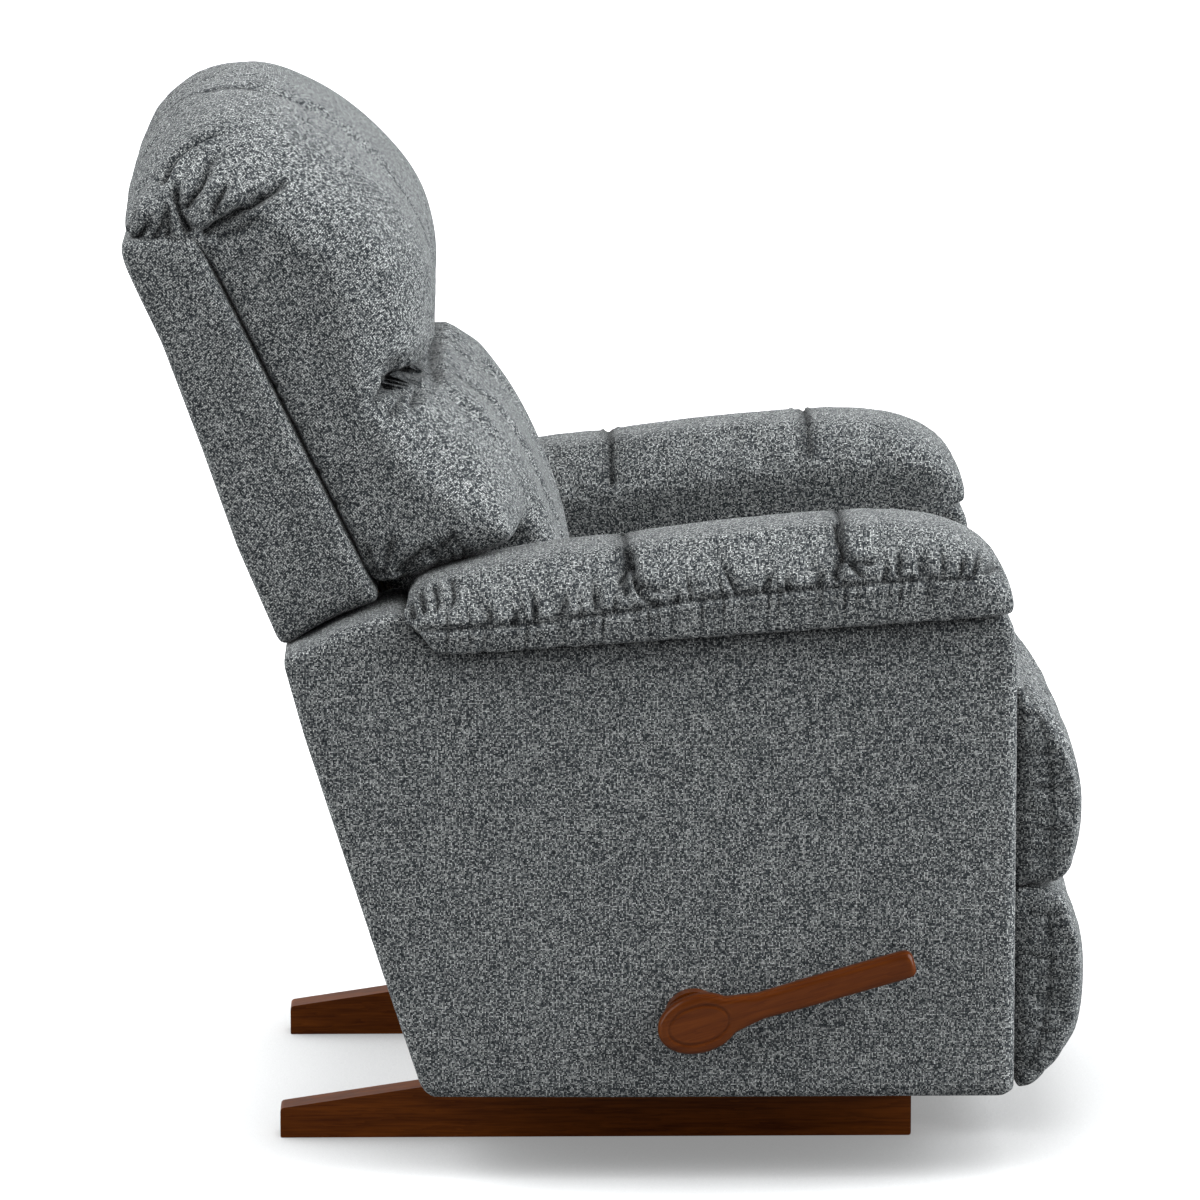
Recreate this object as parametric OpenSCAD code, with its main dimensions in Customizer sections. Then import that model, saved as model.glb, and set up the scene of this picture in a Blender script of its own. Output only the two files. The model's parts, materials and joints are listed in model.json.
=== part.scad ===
// Rocking recliner: X runs forward, Y to the sitter's left, Z up, origin on the floor under the middle.
// Lengths are in millimetres. Side depths are distances from the middle plane of the chair.

/* [Base] */
// Reach of the floor rails in front of the origin
rail_front = 315; // [290:1:330]
// Reach of the floor rails behind the origin
rail_back = 337; // [320:1:360]
// Height of the floor rails
rail_h = 70; // [66:1:74]
// Thickness of the floor rails
rail_w = 38; // [34:1:42]
// Inset of the rails' outer faces from the steel side plates
rail_inset = 7; // [5:1:9]
// Height left at the thin rear end of a rail
rail_tail_h = 31; // [25:1:40]
// Length of the sloping tail of a rail
rail_taper = 260; // [220:1:280]
// Thickness of the cross rails
cross_w = 38; // [30:1:45]
// Height of the cross rails
cross_h = 54; // [48:1:58]
// Height of the cross rails' underside above the floor
cross_lift = 10; // [6:1:12]
// Middle of the front cross rail in front of the origin
cross_front_x = 269; // [255:1:280]
// Middle of the rear cross rail behind the origin
cross_rear_x = 62; // [50:1:75]

/* [Rocking] */
// Rocking axis in front of the origin
rock_x = 60; // [50:1:70]
// Radius of the rounded part of the rocker cam
rock_r = 120; // [110:1:125]
// Largest tilt forward in degrees
rock_forward = 5; // [3:0.5:5]
// Largest tilt backward in degrees
rock_back = 9; // [6:0.5:9]
// Height of the cam over the rail at its middle
cam_h = 38; // [34:1:40]
// Reach of the cam in front of the rocking axis
cam_front = 140; // [120:1:150]
// Reach of the cam behind the rocking axis
cam_rear = 130; // [110:1:135]
// Thickness of the cam
cam_w = 38; // [34:1:40]
// Wire thickness of the rocker springs
spring_wire = 6; // [5:0.5:7]
// Mean radius of the rocker springs
spring_r = 21; // [18:1:23]
// Turns in each rocker spring
spring_turns = 6; // [5:1:7]
// Distance of each rocker spring from the rocking axis
spring_offset = 45; // [40:1:50]
// Gap between the rocker springs and the rails
spring_side_gap = 2; // [1:0.5:6]
// Thickness of the spring bracket sheet
bracket_t = 4; // [3:0.5:5]
// Height of the lower spring seat above the floor
spring_seat_z = 46; // [40:1:48]

/* [Body] */
// Distance between the arms
inner_w = 550; // [546:1:560]
// Width over the outside panels
body_w = 910; // [890:1:930]
// Front edge of the side panels
body_front = 408; // [400:1:412]
// Clearance under the side panels
body_floor = 83; // [78:1:88]
// Rear foot of the side panels behind the origin
body_rear_foot = 180; // [170:1:190]
// Rear top corner of the side panels behind the origin
body_rear_top = 324; // [316:1:326]
// Height of the rear top corner
body_rear_top_z = 528; // [520:1:532]
// Height of the arm under the rear end of its pillow
arm_rear_z = 541; // [535:1:545]
// Height of the arm under the front end of its pillow
arm_front_z = 579; // [570:1:582]
// Thickness of the plywood inside each arm
ply_t = 19; // [15:1:22]
// Thickness of the stretchers between the arms
stretcher_t = 22; // [18:1:28]
// Height of the stretchers between the arms
stretcher_h = 62; // [50:1:70]
// Distance of a resting cushion from its neighbour
soft_gap = 0.3; // [0.2:0.1:0.5]

/* [Arm pillow] */
// Overhang of the pillow past the arm's inner face
pillow_over_in = 7; // [3:1:9]
// Overhang of the pillow past the outside panel
pillow_over_out = 27; // [15:1:31]
// Height of the pillow over the arm
pillow_h = 101; // [92:1:103]
// Depth of the seams across the pillow
pillow_dip = 5; // [0:1:8]

/* [Seat] */
// Gap between the seat cushion and each arm
seat_side_gap = 10; // [9:1:20]
// Height of the seat frame's underside
seat_frame_z = 424; // [422:1:426]
// Height of the seat frame's rails
seat_frame_h = 40; // [36:1:42]
// Thickness of the seat frame's rails
seat_frame_t = 30; // [24:1:34]
// Rear face of the seat frame from the origin
seat_frame_rear = -20; // [-20:1:-10]
// Front face of the seat frame from the origin
seat_frame_front = 350; // [335:1:356]
// Front of the seat cushion's roll
seat_front = 437; // [425:1:439]
// Height of the seat cushion's crown at the front
seat_top_front = 545; // [535:1:555]
// Height of the seat cushion at the rear
seat_top_rear = 512; // [505:1:516]
// Height of the front roll's underside
seat_roll_z = 491; // [490:1:494]
// Wire thickness of the zigzag springs
zigzag_wire = 3.6; // [3:0.2:4]
// Loops in each zigzag spring
zigzag_loops = 12; // [8:1:14]
// Number of zigzag springs across the seat
zigzag_count = 5; // [4:1:5]
// Width of a zigzag spring
zigzag_w = 44; // [36:1:50]

/* [Back] */
// Back pivot behind the origin
back_x = -160; // [-162:1:-158]
// Height of the back pivot
back_z = 315; // [313:1:317]
// Half of the back's width over the arms
back_half = 390; // [380:1:400]
// Gap between the back and each arm, below the wings
back_side_gap = 13; // [12:1:19]
// Radius of the arm's rear top about the back pivot
arm_arc_r = 270; // [268:1:271]
// Running gap between the arm and the back
arc_gap = 3; // [2:0.5:4]
// Slope of the back: rearward run for each unit of rise
back_slope = 0.496; // [0.49:0.002:0.5]
// Cushion seam line: its place at the height of the pivot
seam_x = -97; // [-99:1:-95]
// Height where the shell ends under the head pillow
shell_top = 962; // [950:1:966]
// Radius of the back's round lower end about the pivot
tail_r = 95; // [90:1:97]
// Radius of the flap that closes the gap under the cushions
flap_r = 164; // [160:1:166]
// Height of the crease between the lumbar cushion and the head pillow
crease_z = 800; // [785:1:815]
// Front of the lumbar cushion behind the origin
lumbar_front = 29; // [27:1:40]
// Front of the wings over the arm pillows, behind the origin
wing_front = 74; // [72:1:90]
// Height of the wings' underside at the seam line
wing_low = 588; // [586:1:600]
// Front of the head pillow behind the origin
head_front = 164; // [155:1:172]
// Rear of the head pillow behind the origin
head_rear = 495; // [488:1:500]
// Height of the head pillow's top
head_top = 1090; // [1080:0.5:1100]
// Fall of the head pillow's top from its middle to its sides
head_fall = 36; // [20:1:45]
// Height of the shell left above the timber frame of the back
frame_top_gap = 82; // [60:1:110]
// Thickness of the frame timber in the back
back_timber = 30; // [26:1:34]
// Width of the webbing bands in the back
webbing_w = 50; // [40:1:60]
// Number of the webbing bands
webbing_count = 4; // [3:1:4]
// Width of the frame timber in the back
back_timber_w = 42; // [36:1:48]
// Depth of the sewn channels in the back cushions
channel_dip = 14; // [6:1:18]
// Distance of the channel seams from the middle
channel_y = 130; // [115:1:140]

/* [Legrest] */
// Inset of the legrest board's rear face from the side panels' front edge
board_inset = 3; // [1:1:3]
// Thickness of the legrest board
board_t = 12; // [10:1:14]
// Gap between the legrest and each arm's inner plane
legrest_side_gap = 13; // [11:1:25]
// Front of the legrest pads
legrest_front = 490; // [480:1:492]
// Height of the seam between the two pads
legrest_seam_z = 259; // [250:1:268]
// Top of the upper pad
legrest_top = 484; // [480:1:484]
// Bottom of the lower pad
legrest_bottom = 42; // [40:1:50]

/* [Mechanism] */
// Thickness of the steel plates and links
steel_t = 4; // [3.5:0.1:4]
// Gap between neighbouring links
link_gap = 2; // [2:0.1:2.2]
// Half width of the links
link_r = 11; // [10:0.5:12]
// Radius of the pivot studs
stud_r = 5; // [4:0.5:5]
// Running clearance of a stud in its bore
run_gap = 0.06; // [0.04:0.01:0.1]
// Radial clearance at the pivots that are left open
open_gap = 1.8; // [1.7:0.1:2.2]
// Length of the lift link
lift_l = 146; // [140:1:150]
// Lean of the lift link at rest, in degrees from forward
lift_a = -71.8; // [-73:0.1:-71]
// Length of the bell link down to its long arm's joint
bell_l = 101.8; // [100:0.5:104]
// Length of the whole bell link
bell_long = 182.6; // [180:0.5:185]
// Length of the crank on the drive shaft
crank_r = 42; // [38:1:44]
// Width across the square drive shaft
shaft_sq = 12.7; // [12:0.1:13]
// Drive shaft in front of the origin
shaft_x = 84; // [80:1:88]
// Height of the drive shaft
shaft_z = 168; // [165:1:171]
// Length of the swing links under the seat
swing_l = 60; // [56:1:62]
// Lean of the swing links behind upright, in degrees
swing_a = 40; // [38:1:42]
// Radius of the cross tube behind the legrest
cross_tube_r = 10; // [8:0.5:11]

/* [Handle] */
// Half length of the handle's oval head
head_a = 42; // [38:1:44]
// Half height of the handle's oval head
head_b = 30; // [26:1:32]
// Slope of the handle in degrees
handle_a = 16; // [14:1:18]
// Distance of the handle's tip from the shaft
handle_l = 229; // [215:1:240]
// Width of the handle's blade
blade_w = 28; // [24:1:30]
// Thickness of the handle
handle_t = 19; // [16:1:20]
// Radius of the round hub behind the handle
hub_r = 30; // [26:1:32]
// Thickness of the hub outside the panel
hub_t = 20; // [18:1:21]

/* [Hidden] */
$fn = 48;

fabric = [0.36, 0.40, 0.44];
wood = [0.33, 0.17, 0.09];
pale_wood = [0.76, 0.62, 0.42];
steel = [0.45, 0.46, 0.48];

// Plates and links stand side by side in layers, counted inward from the arm
plate_out = inner_w / 2;
plate_in = plate_out - steel_t;
layer_step = steel_t + link_gap;
function layer_out(i) = plate_in - link_gap - i * layer_step;
function layer_in(i) = layer_out(i) - steel_t;
brace_layer = 0;
bell_layer = 1;
push_layer = 2;
lift_layer = 3;
swing_layer = 4;
rail_layer = 5;
stud_head_t = 1.2;
stud_head_r = stud_r + 3;
head_gap = 0.3;

function dir(a) = [cos(a), sin(a)];
function unit(v) = v / norm(v);

board_x = body_front - board_inset;

// Pivots of the legrest linkage, closed
lift_pivot = [140, 400];
bell_pivot = [216.7, 351.7];
bell_a = -81.9;
bell_bend = 2.5;
lift_end = lift_pivot + lift_l * dir(lift_a);
bell_mid = bell_pivot + bell_l * dir(bell_a);
bell_end = bell_pivot + bell_long * dir(bell_a - bell_bend);
push_end = [board_x - 13, 400];
brace_end = [board_x - 13, 320];
shaft = [shaft_x, shaft_z];
crank_end = shaft + crank_r * dir(bell_a);
bell_drive = bell_pivot + crank_r * dir(bell_a);

// Swing links that carry the seat, as a parallelogram
swing_rear = [-110, 350];
swing_front = [70, 350];
swing_top = swing_l * [-sin(swing_a), cos(swing_a)];

// Back frame of reference: along the seam line and square to it
pivot = [back_x, back_z];
back_along = unit([-back_slope, 1]);
back_out = [back_along.y, -back_along.x];
function seam_at(z) = seam_x - back_slope * (z - back_z);

body_half = body_w / 2;
rail_in = plate_in - rail_inset - rail_w;
spring_depth = rail_in - spring_side_gap - spring_wire / 2 - spring_r;
pillow_in = plate_out - pillow_over_in;
pillow_out = body_half + pillow_over_out;
seat_half = plate_out - seat_side_gap;
back_neck = plate_out - back_side_gap;
legrest_half = plate_out - legrest_side_gap;
cam_out = plate_in;
cam_z = rail_h + soft_gap;
rock_z = rail_h + rock_r;

// Shared shapes
module xz(d_in, d_out) {
    translate([0, -d_in, 0]) rotate([90, 0, 0]) linear_extrude(d_out - d_in) children();
}

module xz_mid(half) {
    translate([0, half, 0]) rotate([90, 0, 0]) linear_extrude(2 * half) children();
}

module rod(p, d_in, d_out, r) {
    translate([p.x, -d_in, p.y]) rotate([90, 0, 0]) cylinder(h = d_out - d_in, r = r);
}

module on_side(s) {
    if (s < 0) children();
    else mirror([0, 1, 0]) children();
}

module both() {
    children();
    mirror([0, 1, 0]) children();
}

// A closed curve through a few points
function curve_point(a, b, c, d, t) = 0.5 * ((2 * b) + (c - a) * t
    + (2 * a - 5 * b + 4 * c - d) * t * t + (3 * b - a - 3 * c + d) * t * t * t);
function curve(pts, n) = let (m = len(pts)) [for (i = [0:m - 1], k = [0:n - 1])
    curve_point(pts[(i + m - 1) % m], pts[i], pts[(i + 1) % m], pts[(i + 2) % m], k / n)];

// A polygon whose corners are eased by r
function corner(a, b, c, r, n) = r <= 0 ? [b] : let (p = b + r * unit(a - b), q = b + r * unit(c - b))
    [for (k = [0:n]) let (t = k / n) (1 - t) * (1 - t) * p + 2 * t * (1 - t) * b + t * t * q];
function eased(pts, r, n = 4) = let (m = len(pts)) [for (i = [0:m - 1])
    each corner(pts[(i + m - 1) % m], pts[i], pts[(i + 1) % m], is_list(r) ? r[i] : r, n)];
function arc(c, r, a0, a1, n) = [for (k = [0:n]) c + r * dir(a0 + (a1 - a0) * k / n)];

// A skin over side outlines: each section is [y, outline], outlines run counter-clockwise
module skin(sections, centre) {
    n = len(sections[0][1]);
    m = len(sections);
    rings = [for (s = sections, p = s[1]) [p.x, s[0], p.y]];
    ends = [[centre.x, sections[0][0], centre.y], [centre.x, sections[m - 1][0], centre.y]];
    sides = [for (j = [0:m - 2], i = [0:n - 1]) let (a = j * n + i, b = j * n + (i + 1) % n)
        each [[a, b, b + n], [a, b + n, a + n]]];
    near = [for (i = [0:n - 1]) [n * m, (i + 1) % n, i]];
    far = [for (i = [0:n - 1]) [n * m + 1, (m - 1) * n + i, (m - 1) * n + (i + 1) % n]];
    polyhedron(points = concat(rings, ends), faces = concat(sides, near, far));
}

function drawn_in(pts, c, kx, kz) = [for (p = pts) [c.x + (p.x - c.x) * kx, c.y + (p.y - c.y) * kz]];

// An outline given as shares of the space from one corner to another, each place with the shares
// of a channel's depth by which it lies further back and lower
function shaped(low, high, shape, dip = 0) = [for (q = shape)
    [low.x + q[0] * (high.x - low.x) - dip * q[2], low.y + q[1] * (high.y - low.y) - dip * q[3]]];

// Base
module base_rail(s) {
    slope_start = rail_taper - rail_back;
    color(wood) on_side(s) xz(rail_in, rail_in + rail_w)
        polygon(eased([[-rail_back, 0], [rail_front, 0], [rail_front, rail_h],
            [slope_start, rail_h], [-rail_back, rail_tail_h]], [2, 3, 4, 0, 4]));
}

module base_cross_rails() {
    color(wood) for (x = [cross_front_x, -cross_rear_x])
        translate([x - cross_w / 2, -rail_in, cross_lift]) cube([cross_w, 2 * rail_in, cross_h]);
}

module spring_bracket_lower(s) {
    reach = spring_depth - spring_r - spring_wire;
    half = spring_offset + spring_r + spring_wire;
    color(steel) on_side(s) {
        translate([rock_x - half, -rail_in, spring_seat_z]) cube([2 * half, rail_in - reach, bracket_t]);
        translate([rock_x - half, -rail_in, cross_lift])
            cube([2 * half, bracket_t, spring_seat_z - cross_lift]);
    }
}

upper_seat_z = cam_z + cam_h + bracket_t + 2;

module spring_bracket_upper(s) {
    reach = spring_depth - spring_r - spring_wire;
    half = spring_offset + spring_r + spring_wire;
    inner = cam_out - cam_w;
    color(steel) on_side(s) {
        translate([rock_x - half, -inner, upper_seat_z]) cube([2 * half, inner - reach, bracket_t]);
        translate([rock_x - half, -inner, cam_z + cam_h - 20])
            cube([2 * half, bracket_t, upper_seat_z - cam_z - cam_h + 20]);
    }
}

// Coil spring: a round wire swept up a helix, closed flat at both ends
spring_foot = spring_seat_z + bracket_t + soft_gap + spring_wire / 2;
spring_head = upper_seat_z - soft_gap - spring_wire / 2;
ring_steps = 8;
wire_sides = 6;
function helix(t) = [spring_r * cos(360 * t), spring_r * sin(360 * t),
    spring_foot + (spring_head - spring_foot) * t / spring_turns];
function wire_ring(t) = let (a = 360 * t) [for (k = [0:wire_sides - 1]) let (b = 360 * k / wire_sides)
    helix(t) + spring_wire / 2 * [cos(b) * cos(a), cos(b) * sin(a), sin(b)]];

module coil_spring() {
    m = spring_turns * ring_steps;
    n = wire_sides;
    rings = [for (j = [0:m]) each wire_ring(j / ring_steps)];
    sides = [for (j = [0:m - 1], i = [0:n - 1]) let (a = j * n + i, b = j * n + (i + 1) % n)
        each [[a, b, b + n], [a, b + n, a + n]]];
    near = [for (i = [1:n - 2]) [0, i + 1, i]];
    far = [for (i = [1:n - 2]) [m * n, m * n + i, m * n + i + 1]];
    polyhedron(points = rings, faces = concat(sides, near, far));
}
echo(rocker_spring_gap_to_itself = (spring_head - spring_foot) / spring_turns - spring_wire);

module rocker_springs(s) {
    color(steel) on_side(s) for (k = [-1, 1])
        translate([rock_x + k * spring_offset, -spring_depth, 0]) coil_spring();
}

// Cam: a round nose between two flats that land on the rail at the ends of the rocking
module rocker_cam(s) {
    nose = [rock_x, rock_z + soft_gap];
    front_nose = nose + rock_r * dir(-90 + rock_forward);
    rear_nose = nose + rock_r * dir(-90 - rock_back);
    front_x = rock_x + cam_front;
    rear_x = rock_x - cam_rear;
    front_z = front_nose.y + (front_x - front_nose.x) * tan(rock_forward);
    rear_z = rear_nose.y + (rear_nose.x - rear_x) * tan(rock_back);
    top = cam_z + cam_h;
    color(wood) on_side(s) xz(cam_out - cam_w, cam_out) polygon(concat(
        arc(nose, rock_r, -90 - rock_back, -90 + rock_forward, 14),
        [[front_x, front_z], [front_x, top - 6], [front_x - 10, top], [rear_x + 8, top],
            [rear_x, top - 4], [rear_x, rear_z]]));
}

// Side plates with the fixed pivot studs
module stud(p, d_in, d_out, inward = true) {
    rod(p, d_in, d_out, stud_r);
    if (inward) rod(p, d_in, d_in + stud_head_t, stud_head_r);
    else rod(p, d_out - stud_head_t, d_out, stud_head_r);
}

function head_in(layer) = layer_in(layer) - head_gap - stud_head_t;
function head_out(layer) = layer_out(layer) + head_gap + stud_head_t;
bush_r = shaft_sq * 0.71 + 3;

module side_plate(s) {
    color(steel) on_side(s) {
        difference() {
            xz(plate_in, plate_out) difference() {
                polygon(eased([[-80, cam_z + 6], [200, cam_z + 14], [240, 200], [258, 330], [245, 372],
                    [160, 418], [118, 418], [90, 378], [-120, 372], [-178, 336], [-178, 296],
                    [-120, 200]], [8, 8, 14, 14, 14, 12, 12, 14, 12, 14, 14, 20]));
                translate([-60, 262]) circle(r = 38);
                translate([30, 262]) circle(r = 34);
                translate([170, 172]) circle(r = 30);
                translate([-40, 152]) circle(r = 22);
            }
            rod(shaft, plate_in - 1, plate_out + 1, bush_r + run_gap);
        }
    }
}

module pivot_studs() {
    color(steel) both() {
        stud(lift_pivot, head_in(lift_layer), plate_in);
        stud(bell_pivot, head_in(bell_layer), plate_in);
        stud(pivot, head_in(brace_layer), plate_in);
        stud(swing_rear, head_in(swing_layer), plate_in);
        stud(swing_front, head_in(swing_layer), plate_in);
    }
}

// Arms
arm_slope = (arm_front_z - arm_rear_z) / (body_front + 150);
function arm_top(x) = arm_rear_z + (x + 150) * arm_slope;
arm_arc_end = 100;
arm_heel = pivot + arm_arc_r * dir(arm_arc_end);
arm_notch = [-172, arm_top(-172)];
arm_rear_foot = [-body_rear_foot, body_floor];
arm_rear_top = [-body_rear_top, body_rear_top_z];
function arm_outline() = concat(
    corner([body_front, 300], [body_front, body_floor], [0, body_floor], 8, 4),
    corner([0, body_floor], arm_rear_foot, arm_rear_top, 6, 4),
    corner(arm_rear_foot, arm_rear_top, pivot + arm_arc_r * dir(120), 6, 4),
    arc(pivot, arm_arc_r, 122, arm_arc_end, 8),
    [arm_notch],
    corner([-100, arm_top(-100)], [body_front - 6, arm_top(body_front - 6)], [body_front, 500], 22, 5));

module arm_body(s) {
    outline = arm_outline();
    reversed = [for (i = [len(outline) - 1:-1:0]) outline[i]];
    color(fabric) on_side(s) difference() {
        union() {
            xz(plate_out, body_half - 8) polygon(reversed);
            xz(body_half - 8, body_half - 3) polygon(drawn_in(reversed, [50, 300], 0.997, 0.996));
            xz(body_half - 3, body_half) polygon(drawn_in(reversed, [50, 300], 0.990, 0.988));
        }
        xz(plate_out - 1, plate_out + ply_t) arm_frame_outline();
        if (s < 0) rod(shaft, plate_out, body_half + 1, hub_shaft_r + 2);
    }
}

hub_shaft_r = shaft_sq * 0.71 + 5;

ply_edge = 14;

module arm_frame_outline() {
    low = body_floor + ply_edge;
    middle = arm_rear_z * 0.7;
    high = arm_rear_z - 41;
    front = body_front - ply_edge;
    polygon(eased([[ply_edge - body_rear_foot, low], [front, low], [front, high + 20],
        [rear_edge(high) + 65, high], [rear_edge(middle) + ply_edge, middle]], [4, 4, 20, 10, 10]));
}

module arm_frame(s) {
    color(pale_wood) on_side(s) difference() {
        xz(plate_out, plate_out + ply_t) arm_frame_outline();
        if (s < 0) rod(shaft, plate_out - 1, plate_out + ply_t + 1, hub_shaft_r + 2);
    }
}

// Arm pillow: a crowned roll with two seams across it and a drawn-in rim
function pillow_low(x) = arm_top(x) + soft_gap;
pillow_toe = [arm_notch.x + 3, pillow_low(arm_notch.x + 3)];
heel_shift = 2.5;
function pillow_heel(rise) = let (x = arm_heel.x + heel_shift, low = pillow_low(x))
    [x, low + (arm_heel.y + heel_shift - low) * rise];
pillow_top_shape = [[-198, 0.58], [-170, 0.72], [-109, 0.845], [-49, 0.90], [15, 0.925], [92, 0.975],
    [162, 1.0], [231, 1.0], [275, 0.99], [323, 0.91], [364, 0.745], [389, 0.535], [400, 0.36], [403, 0.2]];
pillow_seams = [4, 7];
function pillow_outline(rise, dip) = concat(
    [pillow_toe],
    [for (x = [-110:110:330]) [x, pillow_low(x)]],
    [[body_front - 14, pillow_low(body_front - 14)]],
    [for (i = [len(pillow_top_shape) - 1:-1:0])
        let (q = pillow_top_shape[i], seam = len(search(i, pillow_seams)) > 0)
        [q.x, pillow_low(q.x) + q.y * pillow_h * rise - (seam ? dip : 0)]],
    [pillow_heel(rise), (pillow_heel(rise) + pillow_toe) / 2 + [0, 1]]);
// Place across the pillow, drawing in of its outline, and rise of its crown
pillow_sections = [[0, 0.16, 0.55], [0.02, 0.07, 0.80], [0.06, 0.03, 0.92], [0.15, 0.01, 0.98],
    [0.35, 0, 1.0], [0.55, 0, 1.0], [0.75, 0, 0.975], [0.9, 0.015, 0.93], [0.96, 0.04, 0.84],
    [1, 0.14, 0.52]];

module arm_pillow(s) {
    c = [100, pillow_low(100) + pillow_h * 0.5];
    w = pillow_out - pillow_in;
    color(fabric) on_side(s) skin([for (i = [len(pillow_sections) - 1:-1:0]) let (q = pillow_sections[i])
        [-(pillow_in + q[0] * w), [for (p = pillow_outline(q[2], pillow_dip))
            [c.x + (p.x - c.x) * (1 - q[1] * 0.35), p.y + q[1] * (c.y - p.y)]]]],
        c);
}

// Frame parts between the arms
module front_stretcher() {
    color(pale_wood) translate([body_front - 58, -plate_out, body_floor + 4])
        cube([stretcher_t, 2 * plate_out, stretcher_h]);
}

function rear_edge(z) = -body_rear_foot - (z - body_floor) * (body_rear_top - body_rear_foot)
    / (body_rear_top_z - body_floor);

module rear_stretcher() {
    z = 108;
    color(pale_wood) translate([rear_edge(z) + 12, -plate_out, z])
        cube([stretcher_t, 2 * plate_out, stretcher_h]);
}

module rear_apron() {
    low = body_floor + 21;
    high = back_z - tail_r - 6;
    middle = (low + high) / 2;
    t = 9;
    color(fabric) xz_mid(plate_out) polygon([[rear_edge(low) + 2, low], [rear_edge(low) + 2 + t, low],
        [rear_edge(middle) + 3 + t, middle], [rear_edge(high) + 2 + t, high], [rear_edge(high) + 2, high]]);
}

// Drive: square shaft, round bushings in the side plates, cranks and links
module shaft_section(extra = 0) {
    w = shaft_sq + extra;
    translate(shaft - [w / 2, w / 2]) square(w);
}

module drive_shaft() {
    color(steel) translate([0, plate_out - 1, 0]) rotate([90, 0, 0])
        linear_extrude(plate_out - 1 + body_half + hub_t + handle_t * 0.6) shaft_section();
}

module shaft_bushings() {
    color("white") both() difference() {
        union() {
            rod(shaft, plate_in - 1.8, plate_out - 0.2, bush_r);
            rod(shaft, plate_in - 1.8, plate_in - 0.3, bush_r + 3);
        }
        xz(plate_in - 3, plate_out + 1) shaft_section();
    }
}

module drive_cranks() {
    color(steel) both() {
        difference() {
            xz(layer_in(bell_layer), layer_out(bell_layer)) union() {
                translate(shaft) circle(r = link_r + 5);
                translate(crank_end) circle(r = link_r - 1);
                bar_2d(shaft, crank_end, link_r - 1);
            }
            xz(layer_in(bell_layer) - 1, layer_out(bell_layer) + 1) shaft_section();
        }
        stud(crank_end, layer_out(bell_layer) - 1, head_out(brace_layer), false);
    }
}

module bar_2d(a, b, r) {
    n = unit([-(b - a).y, (b - a).x]) * r;
    polygon([a - n, b - n, b + n, a + n]);
}

// A flat link through its pivots, with a bore of its own radius at each one in bores
module link(layer, pts, bores, r = link_r) {
    difference() {
        xz(layer_in(layer), layer_out(layer)) union() {
            for (p = pts) translate(p) circle(r = r);
            for (i = [0:len(pts) - 2]) bar_2d(pts[i], pts[i + 1], r);
        }
        for (b = bores) rod(b[0], layer_in(layer) - 1, layer_out(layer) + 1, b[1]);
    }
}

bore_r = stud_r + run_gap;
open_r = stud_r + open_gap;

module drive_links() {
    ends = [crank_end, bell_drive];
    color(steel) both() link(brace_layer, ends, [for (p = ends) [p, bore_r]], link_r - 2);
}

module lift_links() {
    ends = [lift_pivot, lift_end];
    color(steel) both() link(lift_layer, ends, [for (p = ends) [p, bore_r]]);
}

module bell_links() {
    color(steel) both() {
        link(bell_layer, [bell_pivot, bell_mid, bell_end], [[bell_pivot, bore_r]]);
        stud(bell_mid, head_in(push_layer), layer_in(bell_layer) + 1);
        stud(bell_end, layer_out(bell_layer) - 1, head_out(brace_layer), false);
        stud(bell_drive, layer_out(bell_layer) - 1, head_out(brace_layer), false);
    }
}

module push_links() {
    color(steel) both() {
        link(push_layer, [lift_end, bell_mid, push_end], [[bell_mid, open_r], [push_end, bore_r]]);
        stud(lift_end, head_in(lift_layer), layer_in(push_layer) + 1);
    }
}

module brace_links() {
    color(steel) both() link(brace_layer, [bell_end, brace_end], [[bell_end, bore_r], [brace_end, open_r]]);
}

// Legrest: brackets, board, cross tube and two pads
bracket_low = brace_end.y - 26;
bracket_high = push_end.y + 22;
bracket_flange = 48;

module legrest_brackets() {
    low = layer_in(bell_layer);
    high = layer_out(bell_layer);
    color(steel) both() {
        difference() {
            xz(low, high) polygon(eased([[board_x - 25, bracket_low], [board_x, bracket_low],
                [board_x, bracket_high], [board_x - 25, bracket_high]], [8, 0, 0, 8]));
            rod([push_end.x, (push_end.y + brace_end.y) / 2], low - 1, high + 1, cross_tube_r * 0.5);
        }
        translate([board_x - steel_t, -high, bracket_low + 4])
            cube([steel_t, bracket_flange, push_end.y - link_r - 5 - bracket_low - 4]);
        stud(push_end, head_in(push_layer), low + 1);
        stud(brace_end, high - 1, head_out(brace_layer), false);
    }
}

module legrest_board() {
    color(pale_wood) xz_mid(layer_out(bell_layer)) polygon(eased([[board_x, legrest_bottom + 46],
        [board_x + board_t, legrest_bottom + 46], [board_x + board_t, legrest_top - 8],
        [board_x, legrest_top - 16]], [2, 2, 4, 2]));
}

cross_tube_wall = 1.6;

module legrest_cross_tube() {
    z = (push_end.y + brace_end.y) / 2;
    half = layer_in(bell_layer);
    color(steel) difference() {
        translate([push_end.x - 2, 0, z]) rotate([90, 0, 0])
            cylinder(h = 2 * half, r = cross_tube_r, center = true);
        translate([push_end.x - 2, 0, z]) rotate([90, 0, 0])
            cylinder(h = 2 * half + 2, r = cross_tube_r - cross_tube_wall, center = true);
        translate([board_x - steel_t, -half - 1, z - 20]) cube([30, 2 * half + 2, 40]);
    }
}

pad_back = board_x + board_t + soft_gap;
// Side place as a share of the half width, drawing in of depth and of height
pad_half_steps = [[1, 0.80, 0.90], [0.985, 0.92, 0.955], [0.95, 0.97, 0.98], [0.85, 0.995, 1], [0.5, 1, 1]];
pad_steps = concat([for (q = pad_half_steps) [-q[0], q[1], q[2]]], [[0, 0.985, 1]],
    [for (i = [len(pad_half_steps) - 1:-1:0]) pad_half_steps[i]]);

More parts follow.
